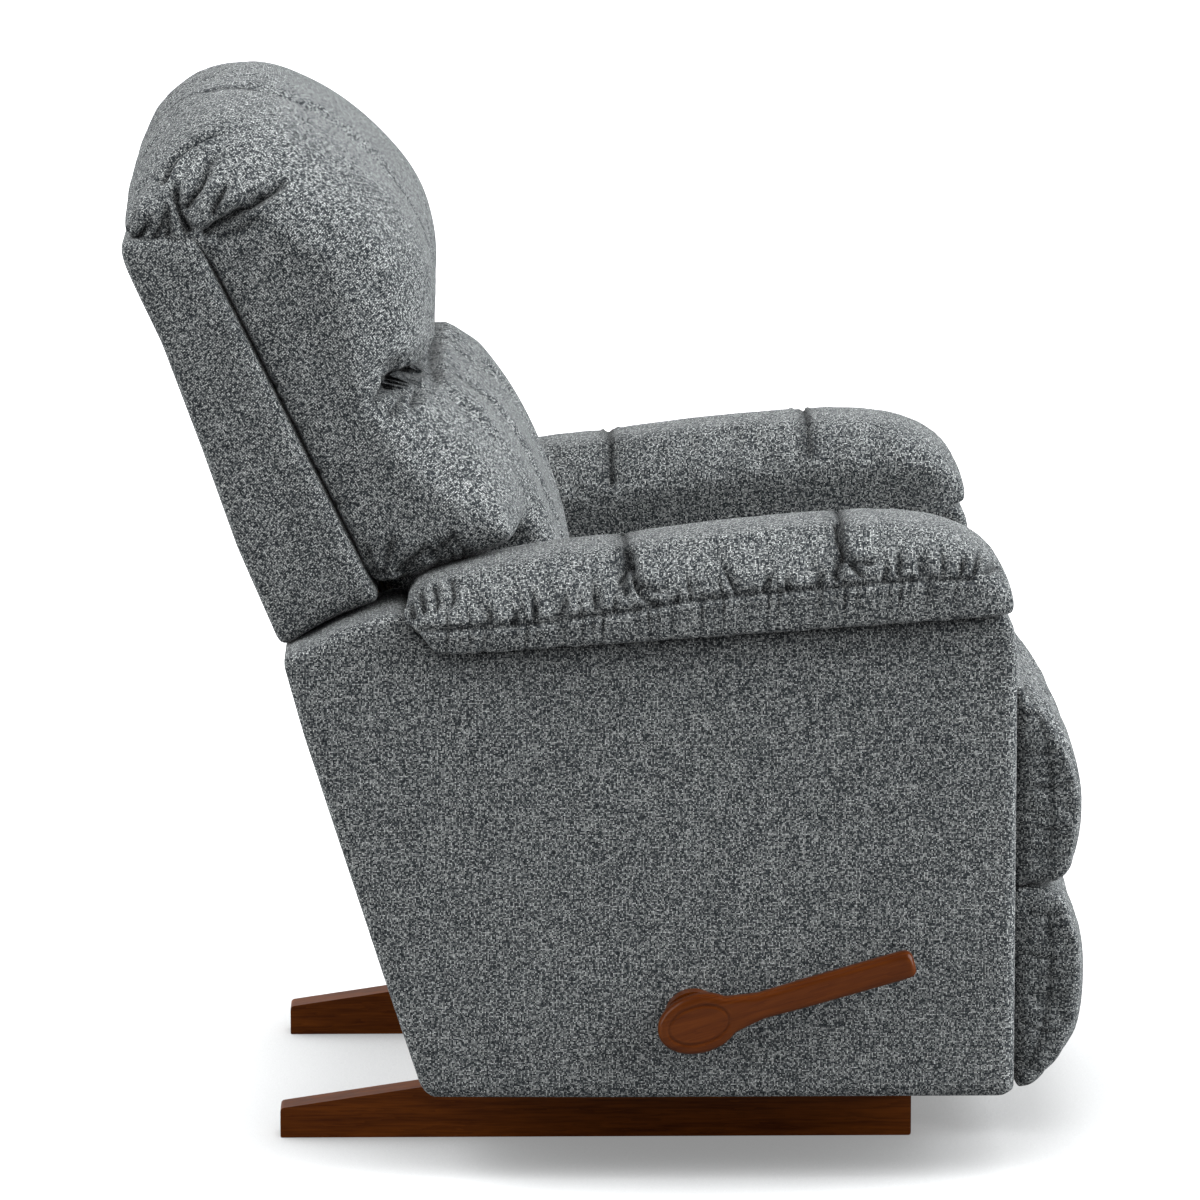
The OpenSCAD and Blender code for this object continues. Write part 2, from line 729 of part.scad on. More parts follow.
function pad_clear(p, low, high) = [max(p.x, pad_back), min(max(p.y, low), high)];

module legrest_pad(outline, centre, low, high) {
    color(fabric) skin([for (q = pad_steps) [q[0] * legrest_half,
        [for (p = drawn_in(outline, centre, q[1], q[2])) pad_clear(p, low, high)]]], centre);
}

upper_pad_shape = [[0, 0, 0, 0], [0.67, 0.02, 0, 0], [0.93, 0.18, 0, 0], [1, 0.38, 0, 0], [0.88, 0.63, 0, 0],
    [0.56, 0.845, 0, 0], [0.24, 0.965, 0, 0], [0.08, 1, 0, 0], [0, 0.96, 0, 0]];
lower_pad_shape = [[0, 0.166, 0, 0], [0.15, 0.005, 0, 0], [0.45, 0.046, 0, 0], [0.725, 0.147, 0, 0],
    [0.93, 0.313, 0, 0], [1, 0.59, 0, 0], [0.96, 0.806, 0, 0], [0.835, 0.94, 0, 0], [0.67, 0.986, 0, 0],
    [0, 1, 0, 0]];

module legrest_upper_pad() {
    low = [pad_back, legrest_seam_z];
    high = [legrest_front, legrest_top];
    outline = curve(shaped(low, high, upper_pad_shape), 3);
    legrest_pad(outline, (low + high) / 2, legrest_seam_z + soft_gap, legrest_top);
}

module legrest_lower_pad() {
    low = [pad_back, legrest_bottom];
    high = [legrest_front, legrest_seam_z];
    outline = curve(shaped(low, high, lower_pad_shape), 3);
    legrest_pad(outline, (low + high) / 2, legrest_bottom, legrest_seam_z);
}

// Seat: swing links, rails, timber frame, zigzag springs and cushion
module swing_links(foot) {
    top = foot + swing_top;
    color(steel) both() {
        link(swing_layer, [foot, top], [[foot, bore_r]]);
        stud(top, head_in(rail_layer), layer_in(swing_layer) + 1);
    }
}

module seat_swing_links_front() {
    swing_links(swing_front);
}

module seat_swing_links_rear() {
    swing_links(swing_rear);
}

rail_flange = 34;

module seat_rails() {
    d = layer_out(rail_layer);
    rear = swing_rear + swing_top;
    front = swing_front + swing_top;
    color(steel) both() {
        difference() {
            xz(layer_in(rail_layer), d) polygon(eased([[rear.x - 16, rear.y - 14],
                [front.x + 16, front.y - 14], [seat_frame_front - 10, seat_frame_z - 14],
                [seat_frame_front - 10, seat_frame_z], [rear.x - 16, seat_frame_z]], [8, 8, 4, 0, 0]));
            rod(rear, layer_in(rail_layer) - 1, d + 1, bore_r);
            rod(front, layer_in(rail_layer) - 1, d + 1, open_r);
        }
        translate([seat_frame_rear, -d, seat_frame_z - steel_t])
            cube([seat_frame_front - 10 - seat_frame_rear, rail_flange, steel_t]);
    }
}

seat_frame_half = plate_in - 12;

module seat_frame() {
    l = seat_frame_front - seat_frame_rear;
    half = seat_frame_half;
    color(pale_wood) {
        for (x = [seat_frame_rear, seat_frame_front - seat_frame_t])
            translate([x, -half, seat_frame_z]) cube([seat_frame_t, 2 * half, seat_frame_h]);
        both() translate([seat_frame_rear + seat_frame_t, -half, seat_frame_z])
            cube([l - 2 * seat_frame_t, seat_frame_t, seat_frame_h]);
    }
}

// Zigzag spring: half loops joined by straight runs, lying across the seat frame
zigzag_z = seat_frame_z + seat_frame_h;
loop_steps = 4;

// The wire's middle line: places, each with the direction to the left of the run
function zigzag_line(l, loops, half_w) = let (pitch = l / loops, r = pitch / 2) concat(
    [[[0, 0], [-1, 0]]],
    [for (i = [0:loops - 1], k = [0:loop_steps])
        let (side = i % 2 == 0 ? 1 : -1, a = 180 - side * 180 * k / loop_steps)
        [[pitch * (i + 0.5), side * (half_w - r)] + r * dir(a), side * dir(a)]],
    [[[l, 0], [loops % 2 == 0 ? -1 : 1, 0]]]);

module zigzag(l, loops, half_w) {
    line = zigzag_line(l, loops, half_w);
    half = zigzag_wire / 2;
    polygon(concat([for (p = line) p[0] + half * p[1]],
        [for (i = [len(line) - 1:-1:0]) line[i][0] - half * line[i][1]]));
}

module seat_zigzag_springs() {
    inset = 8;
    l = seat_frame_front - seat_frame_rear - 2 * inset;
    step = 2 * (seat_frame_half - seat_frame_t) / zigzag_count;
    color(steel) for (k = [0:zigzag_count - 1])
        translate([seat_frame_rear + inset, (k - (zigzag_count - 1) / 2) * step, zigzag_z])
            linear_extrude(zigzag_wire) zigzag(l, zigzag_loops, zigzag_w / 2);
}

cushion_z = zigzag_z + zigzag_wire + soft_gap;
legrest_clear_x = board_x - 6;
function seat_outline(crown) = let (f = seat_front, r = seat_frame_rear - 2, l = f - r) curve([
    [r + 2, cushion_z], [r + l * 0.42, cushion_z], [seat_frame_front - 6, cushion_z],
    [f - 40, seat_roll_z - 1], [f - 8, seat_roll_z + 4], [f, (seat_roll_z + seat_top_front) / 2 - 6],
    [f - 12, seat_top_front - 13], [f - 40, seat_top_front - 1 + crown], [f - 110, seat_top_front + crown],
    [r + l * 0.53, seat_top_front - 6 + crown], [r + l * 0.27, seat_top_front - 19 + crown],
    [r + l * 0.09, seat_top_rear + 6 + crown], [r, seat_top_rear - 8],
    [r - 1, (cushion_z + seat_top_rear) / 2]], 3);

// Side place as a share of the half width, drawing in of length and height, and crown
seat_steps = [[-1, 0.97, 0.72, 0], [-0.985, 0.99, 0.88, 0], [-0.94, 1, 0.97, 0], [-0.75, 1, 1, 2],
    [-0.4, 1, 1, 4], [0, 1, 1, 5], [0.4, 1, 1, 4], [0.75, 1, 1, 2], [0.94, 1, 0.97, 0],
    [0.985, 0.99, 0.88, 0], [1, 0.97, 0.72, 0]];
function seat_clear(p) = [p.x, max(p.y, cushion_z, p.x > legrest_clear_x ? seat_roll_z - 2 : 0)];

module seat_cushion() {
    c = [(seat_frame_rear + seat_front) / 2, (cushion_z + seat_top_front) / 2];
    color(fabric) skin([for (q = seat_steps)
        [q[0] * seat_half, [for (p = drawn_in(seat_outline(q[3]), c, q[1], q[2])) seat_clear(p)]]], c);
}

// Back
function back_at(along, out) = pivot + along * back_along + out * back_out;
seam_out = (seam_x - back_x) * back_out.x;
frame_top = (shell_top - back_z) / back_along.y - frame_top_gap;

module back_brackets() {
    d_in = layer_in(brace_layer);
    d_out = layer_out(brace_layer);
    color(steel) both() difference() {
        xz(d_in, d_out) union() {
            translate(pivot) circle(r = 22);
            polygon([back_at(-10, -18), back_at(-10, timber_out), back_at(270, timber_out),
                back_at(270, timber_out - back_timber), back_at(60, -18)]);
        }
        rod(pivot, d_in - 1, d_out + 1, bore_r);
    }
}

timber_out = seam_out - 8;
module timber_section(a0, a1) {
    polygon([back_at(a0, timber_out), back_at(a1, timber_out),
        back_at(a1, timber_out - back_timber), back_at(a0, timber_out - back_timber)]);
}

module back_frame() {
    inner = layer_in(brace_layer) - back_timber_w;
    color(pale_wood) {
        both() xz(inner, layer_in(brace_layer)) timber_section(140, frame_top);
        both() xz(layer_in(brace_layer) - 16, layer_in(brace_layer)) timber_section(60, 140);
        for (a = [150, 360, frame_top - back_timber_w])
            xz_mid(inner) timber_section(a, a + back_timber_w);
    }
}

module back_webbing() {
    t = 2;
    step = 2 * (layer_in(brace_layer) - back_timber_w) / webbing_count;
    color("tan") for (k = [0:webbing_count - 1]) translate([0, (k - (webbing_count - 1) / 2) * step, 0])
        rotate([90, 0, 0]) linear_extrude(webbing_w, center = true)
            polygon([back_at(150, timber_out), back_at(frame_top, timber_out),
                back_at(frame_top, timber_out + t), back_at(150, timber_out + t)]);
}

// Rear line of the back and the arc that clears the arm
rear_slope = 0.326;
function rear_at(z) = pivot.x - tail_r / 0.953 - (z - back_z) * rear_slope;
wing_r = arm_arc_r + arc_gap;

shell_low = pivot.y + wing_r * sin(126) - 1.9;
shell_rear_shape = [[0.987, 0.949, 0, 0], [0.885, 0.839, 0, 0], [0.72, 0.72, 0, 0], [0.439, 0.439, 0, 0]];

module back_shell() {
    rear = head_rear - 7;
    top_rear = [-rear, shell_top + (rear + seam_at(shell_top)) * shell_top_slope];
    outline = concat(
        [[rear_at(shell_low), shell_low]],
        [for (a = [126, 120, 114, 109, 105]) pivot + wing_r * dir(a)],
        [[seam_at(wing_low), wing_low], [seam_at(shell_top - 9), shell_top - 9],
            [seam_at(shell_top) - 9, shell_top], top_rear],
        shaped([rear_at(shell_low), shell_low], [-rear, shell_top], shell_rear_shape));
    pocket = [back_at(120, seam_out + 1), back_at(frame_top + 12, seam_out + 1),
        back_at(frame_top + 12, seam_out - 10 - back_timber), back_at(120, seam_out - 10 - back_timber)];
    color(fabric) difference() {
        union() {
            xz_mid(back_half - 6) polygon(outline);
            xz_mid(back_half) polygon(drawn_in(outline, [seam_at(750) - 42, 750], 0.975, 0.99));
        }
        xz_mid(plate_in - 0.5) polygon(pocket);
    }
}

tail_high = shell_low - soft_gap;

module back_tail() {
    t = 10;
    color(fabric) xz_mid(back_neck) polygon(concat(
        [[rear_at(tail_high), tail_high]],
        arc(pivot, tail_r, 198, 300, 14),
        arc(pivot, tail_r - t, 300, 198, 14),
        [[rear_at(tail_high) + t * 1.1, tail_high]]));
}

module seat_gap_flap() {
    t = 4;
    half = layer_in(rail_layer) - 5;
    color(fabric) xz_mid(half) polygon(concat(
        arc(pivot, flap_r, 2, 98, 20), arc(pivot, flap_r - t, 98, 2, 20)));
}

// The crease where the lumbar cushion meets the head pillow, and the wing line over the arm pillow
crease_x = -head_front - 5;
crease_slope = 0.21;
function crease(x) = crease_z + min(0, (x - crease_x) * crease_slope);
lumbar_floor = back_z + flap_r + soft_gap;
wing_shape = [[0, 0, 0, 0], [0.205, 0.071, 0, 0], [0.407, 0.146, 0, 0], [0.76, 0.217, 0, 0],
    [0.962, 0.269, 0, 0], [1, 0.316, 0, 0], [0.987, 0.377, 0.6, 0], [0.975, 0.453, 1, 0]];
neck_shape = [[0, 0.021, 0, 0], [0.283, 0, 0, 0], [0.541, 0, 0, 0], [0.826, 0.015, 0, 0],
    [0.974, 0.065, 0, 0], [1, 0.205, 0, 0], [0.903, 0.376, 0.6, 0], [0.8, 0.517, 1, 0]];
front_shape = [[0.937, 0.528, 1, 0], [0.785, 0.726, 1, 0], [0.596, 0.887, 0.8, 0], [0.381, 0.967, 0, 0],
    [-0.048, 0.92, 0, 0]];
rear_shape = [0.868, 0.528, 0.245];

function lumbar_outline(dip, wing) = let (
    wing_foot = [seam_at(wing_low), wing_low],
    neck_foot = [seam_at(lumbar_floor + 11), lumbar_floor],
    under = wing ? shaped(wing_foot, [-wing_front, crease_z], wing_shape, dip)
        : shaped(neck_foot, [-lumbar_front, crease_z], neck_shape, dip),
    front = shaped(wing_foot, [-wing_front, crease_z], front_shape, dip),
    rear = [for (k = rear_shape) let (z = wing_low + k * (crease_z - wing_low)) [seam_at(z), z]])
    curve(concat(under, front, rear), 2);

function lumbar_clear(p, wing) = let (z = min(max(p.y, wing ? wing_low : lumbar_floor), crease(p.x)))
    [max(p.x, seam_at(z) + soft_gap), z];

module lumbar_cushion() {
    c = [crease_x, (wing_low + crease_z) / 2];
    w = back_half - 6;
    neck = back_neck - 2;
    plan = [[-w, 0, true, 0.82], [-w + 6, 0, true, 0.92], [-w + 24, 0, true, 0.985],
        [-neck - 26, 0, true, 1], [-neck - 3, 2, true, 1], [-neck, 3, false, 1], [-neck + 34, 0, false, 1],
        [-channel_y - 22, 1, false, 1], [-channel_y, channel_dip, false, 1],
        [-channel_y + 22, 1, false, 1], [0, 0, false, 1]];
    half = [for (q = plan) [q[0], [for (p = drawn_in(lumbar_outline(q[1], q[2]), c, q[3], q[3]))
        lumbar_clear(p, q[2])]]];
    color(fabric) skin(concat(half, [for (i = [len(half) - 2:-1:0]) [-half[i][0], half[i][1]]]), c);
}

shell_top_slope = 0.085;
head_shape = [[0.77, -0.043, 0, 0], [0.94, 0, 0, 0], [0.997, 0.06, 1, 0], [1, 0.205, 1, 0],
    [0.964, 0.397, 1, 0], [0.885, 0.628, 1, 0], [0.752, 0.817, 0.7, 0.6], [0.559, 0.965, 0, 1],
    [0.366, 1, 0, 1], [0.196, 0.949, 0, 0.5], [0.073, 0.823, 0, 0], [0.015, 0.701, 0, 0], [0, 0.602, 0, 0]];
head_seam_shape = [0.62, 0.25];

function head_outline(dip) = curve(concat(
    [[seam_at(crease_z - 20), crease_z - 19]],
    shaped([-head_rear, crease_z], [-head_front, head_top], head_shape, dip),
    [[5 - head_rear, shell_top + 8], [seam_at(shell_top) - 20, shell_top + 2],
        [seam_at(shell_top) + 8, shell_top - 8]],
    [for (k = head_seam_shape) let (z = crease_z + k * (shell_top - crease_z)) [seam_at(z), z]]), 2);

head_waist = shell_top + 14;
function fallen(outline, fall) = [for (p = outline)
    [p.x, p.y - fall * max(0, (p.y - head_waist) / (head_top - head_waist))]];

function head_clear(p) = let (edge = seam_at(shell_top))
    p.x < edge ? [p.x, max(p.y, shell_top + soft_gap + (edge - p.x) * shell_top_slope)]
        : [max(p.x, seam_at(p.y) + soft_gap), max(p.y, crease(p.x) + soft_gap)];

module head_pillow() {
    c = [-(head_front + head_rear) / 2, (crease_z + head_top) / 2 + 34];
    w = back_half - 4;
    plan = [[-w, 0, 0.84], [-w + 5, 0, 0.925], [-w + 20, 0, 0.975], [-w + 55, 0, 1],
        [-channel_y - 24, 0, 1], [-channel_y, channel_dip * 0.7, 1], [-channel_y + 24, 0, 1], [0, 0, 1]];
    half = [for (q = plan) let (top = fallen(head_outline(q[1]), head_fall * pow(q[0] / w, 2)))
        [q[0], [for (p = drawn_in(top, c, q[2], q[2])) head_clear(p)]]];
    color(fabric) skin(concat(half, [for (i = [len(half) - 2:-1:0]) [-half[i][0], half[i][1]]]), c);
}

// Handle: a round hub on the shaft and a wooden lever with an oval head
hub_in = plate_out + 0.5;

module handle_hub() {
    color(wood) difference() {
        union() {
            rod(shaft, hub_in, body_half + 1, hub_shaft_r);
            rod(shaft, body_half + 1, body_half + hub_t, hub_r);
        }
        xz(hub_in - 1, body_half + hub_t + 1) shaft_section();
    }
}

function oval(a, b, t0, t1, n) = [for (k = [0:n])
    let (t = t0 + (t1 - t0) * k / n) [a * cos(t), b * sin(t)]];
head_shift = 4;

// Outline of the lever along its own slope: oval head, neck, and blade with a rounded tip
function lever_outline(grow) = let (
    neck = head_a * 1.55,
    half = blade_w / 2 + grow,
    tip = handle_l - head_shift + grow)
    concat(oval(head_a + grow, head_b + grow, 38, 322, 30),
        [[neck, 1 - half], [neck + 50, -half]],
        corner([0, -half], [tip, -half], [tip, half], 9, 4),
        corner([tip, -half], [tip, half], [0, half], 9, 4),
        [[neck + 50, half], [neck, half - 1]]);

module on_lever() {
    translate(shaft + [head_shift, 0]) rotate(handle_a) children();
}

module lever_handle() {
    low = body_half + hub_t;
    steps = [[0, -2], [2.5, 0], [handle_t - 4, -1.4], [handle_t - 2, -3], [handle_t, -3]];
    groove = handle_t - 1;
    color(wood) difference() {
        for (i = [0:len(steps) - 2])
            xz(low + steps[i][0], low + steps[i + 1][0]) on_lever() polygon(lever_outline(steps[i][1]));
        xz(low - 1, low + handle_t * 0.6) shaft_section();
        xz(low + groove, low + handle_t + 1) on_lever() difference() {
            polygon(oval(head_a - 9, head_b - 9, 0, 350, 35));
            polygon(oval(head_a - 11, head_b - 11, 0, 350, 35));
        }
    }
}

base_rail(-1);  // base_rail_right
base_rail(1);  // base_rail_left
base_cross_rails();
spring_bracket_lower(-1);  // spring_bracket_lower_right
spring_bracket_lower(1);  // spring_bracket_lower_left
rocker_springs(-1);  // rocker_springs_right
rocker_springs(1);  // rocker_springs_left
rocker_cam(-1);  // rocker_cam_right
rocker_cam(1);  // rocker_cam_left
spring_bracket_upper(-1);  // spring_bracket_upper_right
spring_bracket_upper(1);  // spring_bracket_upper_left
side_plate(-1);  // side_plate_right
side_plate(1);  // side_plate_left
pivot_studs();
arm_frame(-1);  // arm_frame_right
arm_frame(1);  // arm_frame_left
arm_body(-1);  // arm_body_right
arm_body(1);  // arm_body_left
arm_pillow(-1);  // arm_pillow_right
arm_pillow(1);  // arm_pillow_left
front_stretcher();
rear_stretcher();
rear_apron();
drive_shaft();
shaft_bushings();
drive_cranks();
handle_hub();
lever_handle();
drive_links();
lift_links();
bell_links();
push_links();
brace_links();
legrest_brackets();
legrest_board();
legrest_cross_tube();
legrest_upper_pad();
legrest_lower_pad();
seat_swing_links_front();
seat_swing_links_rear();
seat_rails();
seat_frame();
seat_zigzag_springs();
seat_cushion();
back_brackets();
back_frame();
back_webbing();
back_shell();
back_tail();
seat_gap_flap();
lumbar_cushion();
head_pillow();
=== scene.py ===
"""Rocking recliner: the looks of the upholstery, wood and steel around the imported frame.

X runs forward, Y to the sitter's left, Z up. Outlines are written in millimetres and used in metres.
"""
import json
import math
import random

import bpy
import numpy as np
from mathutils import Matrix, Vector
from mathutils.bvhtree import BVHTree

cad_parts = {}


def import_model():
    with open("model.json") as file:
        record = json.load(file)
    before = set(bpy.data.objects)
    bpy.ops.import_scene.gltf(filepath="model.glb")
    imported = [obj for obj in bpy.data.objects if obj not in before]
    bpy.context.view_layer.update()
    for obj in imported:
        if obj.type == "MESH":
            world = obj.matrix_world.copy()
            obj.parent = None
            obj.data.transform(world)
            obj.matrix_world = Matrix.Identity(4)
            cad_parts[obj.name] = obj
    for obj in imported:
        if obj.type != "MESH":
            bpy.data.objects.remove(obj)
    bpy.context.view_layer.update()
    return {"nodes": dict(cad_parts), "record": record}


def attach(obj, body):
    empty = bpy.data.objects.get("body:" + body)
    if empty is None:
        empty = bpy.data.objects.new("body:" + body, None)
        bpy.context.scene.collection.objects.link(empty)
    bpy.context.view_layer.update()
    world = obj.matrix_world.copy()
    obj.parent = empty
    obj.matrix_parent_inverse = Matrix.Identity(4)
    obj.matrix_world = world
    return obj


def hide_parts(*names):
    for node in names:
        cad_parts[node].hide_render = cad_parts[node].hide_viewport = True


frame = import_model()

MM = 0.001
BODY_OF = {node: body for body, nodes in frame["record"]["behaviour"]["bodies"].items() for node in nodes}
SIDES = (("right", -1), ("left", 1))

# The back leans: its seam line runs through this place with this slope
SEAM_FOOT = (-97, 315)
BACK_SLOPE = 0.496
BACK_LEAN = math.atan(BACK_SLOPE)
CHANNEL_Y = 130


def seam_at(z):
    return SEAM_FOOT[0] - BACK_SLOPE * (z - SEAM_FOOT[1])


# Curves and forms
def spline(knots, steps, closed=True):
    """Points along a smooth curve through the knots, with the same number of steps between each two."""
    knots = np.asarray(knots, float)
    n = len(knots)
    t = np.linspace(0, 1, steps, endpoint=False)[:, None]
    runs = []
    for i in range(n if closed else n - 1):
        around = [(i + k) % n if closed else min(max(i + k, 0), n - 1) for k in (-1, 0, 1, 2)]
        a, b, c, d = knots[around]
        runs.append(0.5 * (2 * b + (c - a) * t + (2 * a - 5 * b + 4 * c - d) * t ** 2
                           + (3 * b - a - 3 * c + d) * t ** 3))
    if not closed:
        runs.append(knots[-1:])
    return np.concatenate(runs)


def arc(centre, radius, start, end, steps):
    angles = np.radians(np.linspace(start, end, steps + 1))
    return [(centre[0] + radius * math.cos(a), centre[1] + radius * math.sin(a)) for a in angles]


def linked(name, data):
    """A new object in the scene."""
    obj = bpy.data.objects.new(name, data)
    bpy.context.scene.collection.objects.link(obj)
    return obj


def mesh_object(name, points, faces):
    mesh = bpy.data.meshes.new(name)
    mesh.from_pydata([tuple(p) for p in points], [], faces)
    mesh.validate()
    return linked(name, mesh)


def loft(name, rings):
    """A closed form over rings with the same number of points each."""
    rings = [np.asarray(r, float) for r in rings]
    n = len(rings[0])
    points = list(np.concatenate(rings)) + [rings[0].mean(0), rings[-1].mean(0)]
    first, last = n * len(rings), n * len(rings) + 1
    faces = [(j * n + i, j * n + (i + 1) % n, (j + 1) * n + (i + 1) % n, (j + 1) * n + i)
             for j in range(len(rings) - 1) for i in range(n)]
    top = n * (len(rings) - 1)
    faces += [(first, (i + 1) % n, i) for i in range(n)]
    faces += [(last, top + i, top + (i + 1) % n) for i in range(n)]
    obj = mesh_object(name, points, faces)
    outward(obj)
    return obj


def outward(obj):
    """Turns a closed form's faces outward."""
    mesh = obj.data
    mesh.calc_loop_triangles()
    co = coords(mesh)
    tri = np.array([t.vertices[:] for t in mesh.loop_triangles])
    volume = (co[tri[:, 0]] * np.cross(co[tri[:, 1]], co[tri[:, 2]])).sum()
    if volume < 0:
        mesh.flip_normals()


def side_ring(y, outline):
    """An outline in side view, in millimetres, set at a side depth."""
    outline = np.asarray(outline, float)
    return np.column_stack([outline[:, 0], np.full(len(outline), y), outline[:, 1]]) * MM


def drawn_in(outline, centre, kx, kz=None):
    centre = np.array(centre, float)
    return centre + (np.asarray(outline, float) - centre) * (kx, kx if kz is None else kz)


def inset(outline, gap):
    """An outline moved inward by a small gap, in its own units; it runs counter-clockwise."""
    outline = np.asarray(outline, float)
    along = np.roll(outline, -1, 0) - np.roll(outline, 1, 0)
    along /= np.maximum(np.linalg.norm(along, axis=1, keepdims=True), 1e-9)
    return outline + gap * np.column_stack([-along[:, 1], along[:, 0]])


def subdivided(outline, step):
    """A closed outline with more points, so that no two neighbours lie much farther apart than the step."""
    outline = np.asarray(outline, float)
    dense = []
    for a, b in zip(outline, np.roll(outline, -1, 0)):
        count = max(1, int(np.linalg.norm(b - a) / step))
        dense += [a + (b - a) * k / count for k in range(count)]
    return np.array(dense)


def mirrored(steps):
    """Sections from one side to the middle, carried on to the other side."""
    return steps + [(-y, *rest) for y, *rest in reversed(steps[:-1])]


def joined(name, parts):
    """Several closed forms as one object."""
    points, faces = [], []
    for part in parts:
        start = len(points)
        points += [tuple(v.co) for v in part.data.vertices]
        faces += [tuple(start + i for i in p.vertices) for p in part.data.polygons]
        bpy.data.objects.remove(part)
    return mesh_object(name, points, faces)


# Reading and moving the points of a mesh
def unit(values):
    """Values kept between 0 and 1."""
    return np.clip(values, 0, 1)


def coords(mesh):
    co = np.empty(len(mesh.vertices) * 3, np.float32)
    mesh.vertices.foreach_get("co", co)
    return co.reshape(-1, 3).astype(float)


def normals(mesh):
    no = np.empty(len(mesh.vertices) * 3, np.float32)
    mesh.vertex_normals.foreach_get("vector", no)
    return no.reshape(-1, 3).astype(float)


def set_coords(mesh, co):
    mesh.vertices.foreach_set("co", co.astype(np.float32).ravel())
    mesh.update()


def apply_modifiers(obj):
    graph = bpy.context.evaluated_depsgraph_get()
    mesh = bpy.data.meshes.new_from_object(obj.evaluated_get(graph))
    old = obj.data
    obj.modifiers.clear()
    obj.data = mesh
    bpy.data.meshes.remove(old)
    mesh.name = obj.name


def remesh(obj, voxel, smooth):
    """One even skin over everything in the object, with its corners softened."""
    even = obj.modifiers.new("even", "REMESH")
    even.mode = "VOXEL"
    even.voxel_size = voxel * MM
    soften = obj.modifiers.new("soften", "SMOOTH")
    soften.factor = 0.5
    soften.iterations = smooth
    apply_modifiers(obj)


def refine(obj):
    finer = obj.modifiers.new("finer", "SUBSURF")
    finer.levels = 1
    finer.render_levels = 1
    apply_modifiers(obj)


def shade_smooth(obj):
    obj.data.polygons.foreach_set("use_smooth", np.ones(len(obj.data.polygons), bool))


SIM_FRAMES = 20
CLOTH = {"quality": 4, "mass": 0.3, "tension_stiffness": 15, "compression_stiffness": 15,
         "shear_stiffness": 6, "bending_stiffness": 0.6, "use_pressure": True,
         "uniform_pressure_force": 4.0, "vertex_group_mass": "held"}


def swell(obj, held, cap, grow):
    """Fills a pad: its cloth swells between the places that are held, from 0 for free to 1 for sewn down.

    No place moves farther than the cap, in millimetres; grow is the share by which the cloth is cut larger.
    """
    before = coords(obj.data)
    weights = unit(held(before / MM, normals(obj.data)))
    group = obj.vertex_groups.new(name="held")
    for level in np.unique(np.round(weights, 1)):
        if level > 0:
            members = np.nonzero(np.round(weights, 1) == level)[0].tolist()
            group.add(members, float(level), "REPLACE")
    cloth = obj.modifiers.new("filling", "CLOTH")
    for key, value in CLOTH.items():
        setattr(cloth.settings, key, value)
    cloth.settings.effector_weights.gravity = 0
    cloth.settings.shrink_min = -grow
    cloth.collision_settings.use_collision = False
    cloth.point_cache.frame_start = 1
    cloth.point_cache.frame_end = SIM_FRAMES
    scene = bpy.context.scene
    for moment in range(1, SIM_FRAMES + 1):
        scene.frame_set(moment)
    apply_modifiers(obj)
    scene.frame_set(1)
    obj.vertex_groups.clear()
    move = coords(obj.data) - before
    reach = np.linalg.norm(move, axis=1, keepdims=True)
    move *= np.minimum(1, cap * MM / np.maximum(reach, 1e-9))
    set_coords(obj.data, before + move)


# Seams, folds and stitches
# The fold mark is painted shade: how far the cloth's colour is darkened in folds and seams, where shade
# falls
FOLD_SHADE_MARK = "fold"


def paint_fold_shade(mesh, amount):
    """Notes on every point how dark the painted shade of its fold is, from 0 to 1, on top of what was noted
    before.
    """
    mark = mesh.attributes.get(FOLD_SHADE_MARK) or mesh.attributes.new(FOLD_SHADE_MARK, "FLOAT", "POINT")
    before = np.empty(len(mesh.vertices), np.float32)
    mark.data.foreach_get("value", before)
    mark.data.foreach_set("value", unit(before + amount).astype(np.float32))


def line_distance(co, line):
    """How far each point is from a line through several places, and its share of the way along it."""
    start, step = line[:-1], line[1:] - line[:-1]
    size = np.maximum((step ** 2).sum(1), 1e-12)
    t = unit(((co[:, None] - start) * step).sum(2) / size)
    gap = np.linalg.norm(co[:, None] - (start + t[..., None] * step), axis=2)
    nearest = gap.argmin(1)
    rows = np.arange(len(co))
    run = np.sqrt(size)
    done = np.concatenate([[0], np.cumsum(run)])
    return gap[rows, nearest], (done[nearest] + t[rows, nearest] * run[nearest]) / run.sum()


def press(obj, lines):
    """Presses seams and folds into a form, and paints shade into the grooves. A line is (places, depth,
    width, fade at start, fade at end).
    """
    mesh = obj.data
    co, no = coords(mesh), normals(mesh)
    move, dark = np.zeros(len(co)), np.zeros(len(co))
    for line, depth, width, fade_in, fade_out in lines:
        if len(line) < 2:
            continue
        width = width * MM
        near = np.all((co > line.min(0) - 5 * width) & (co < line.max(0) + 5 * width), axis=1)
        if not near.any():
            continue
        gap, along = line_distance(co[near], line)
        taper = unit(along / max(fade_in, 1e-6)) * unit((1 - along) / max(fade_out, 1e-6))
        taper = taper * taper * (3 - 2 * taper)
        groove = np.exp(-gap / width) - 0.2 * np.exp(-((gap / width - 2.8) / 1.2) ** 2)
        move[near] -= depth * MM * groove * taper
        # painted shade in the groove, darker for deep and narrow grooves
        steep = min(1, depth / width / 2.5)
        dark[near] = np.maximum(dark[near], steep * np.exp(-(gap / width) ** 1.5) * taper)
    set_coords(mesh, co + no * move[:, None])
    paint_fold_shade(mesh, dark)


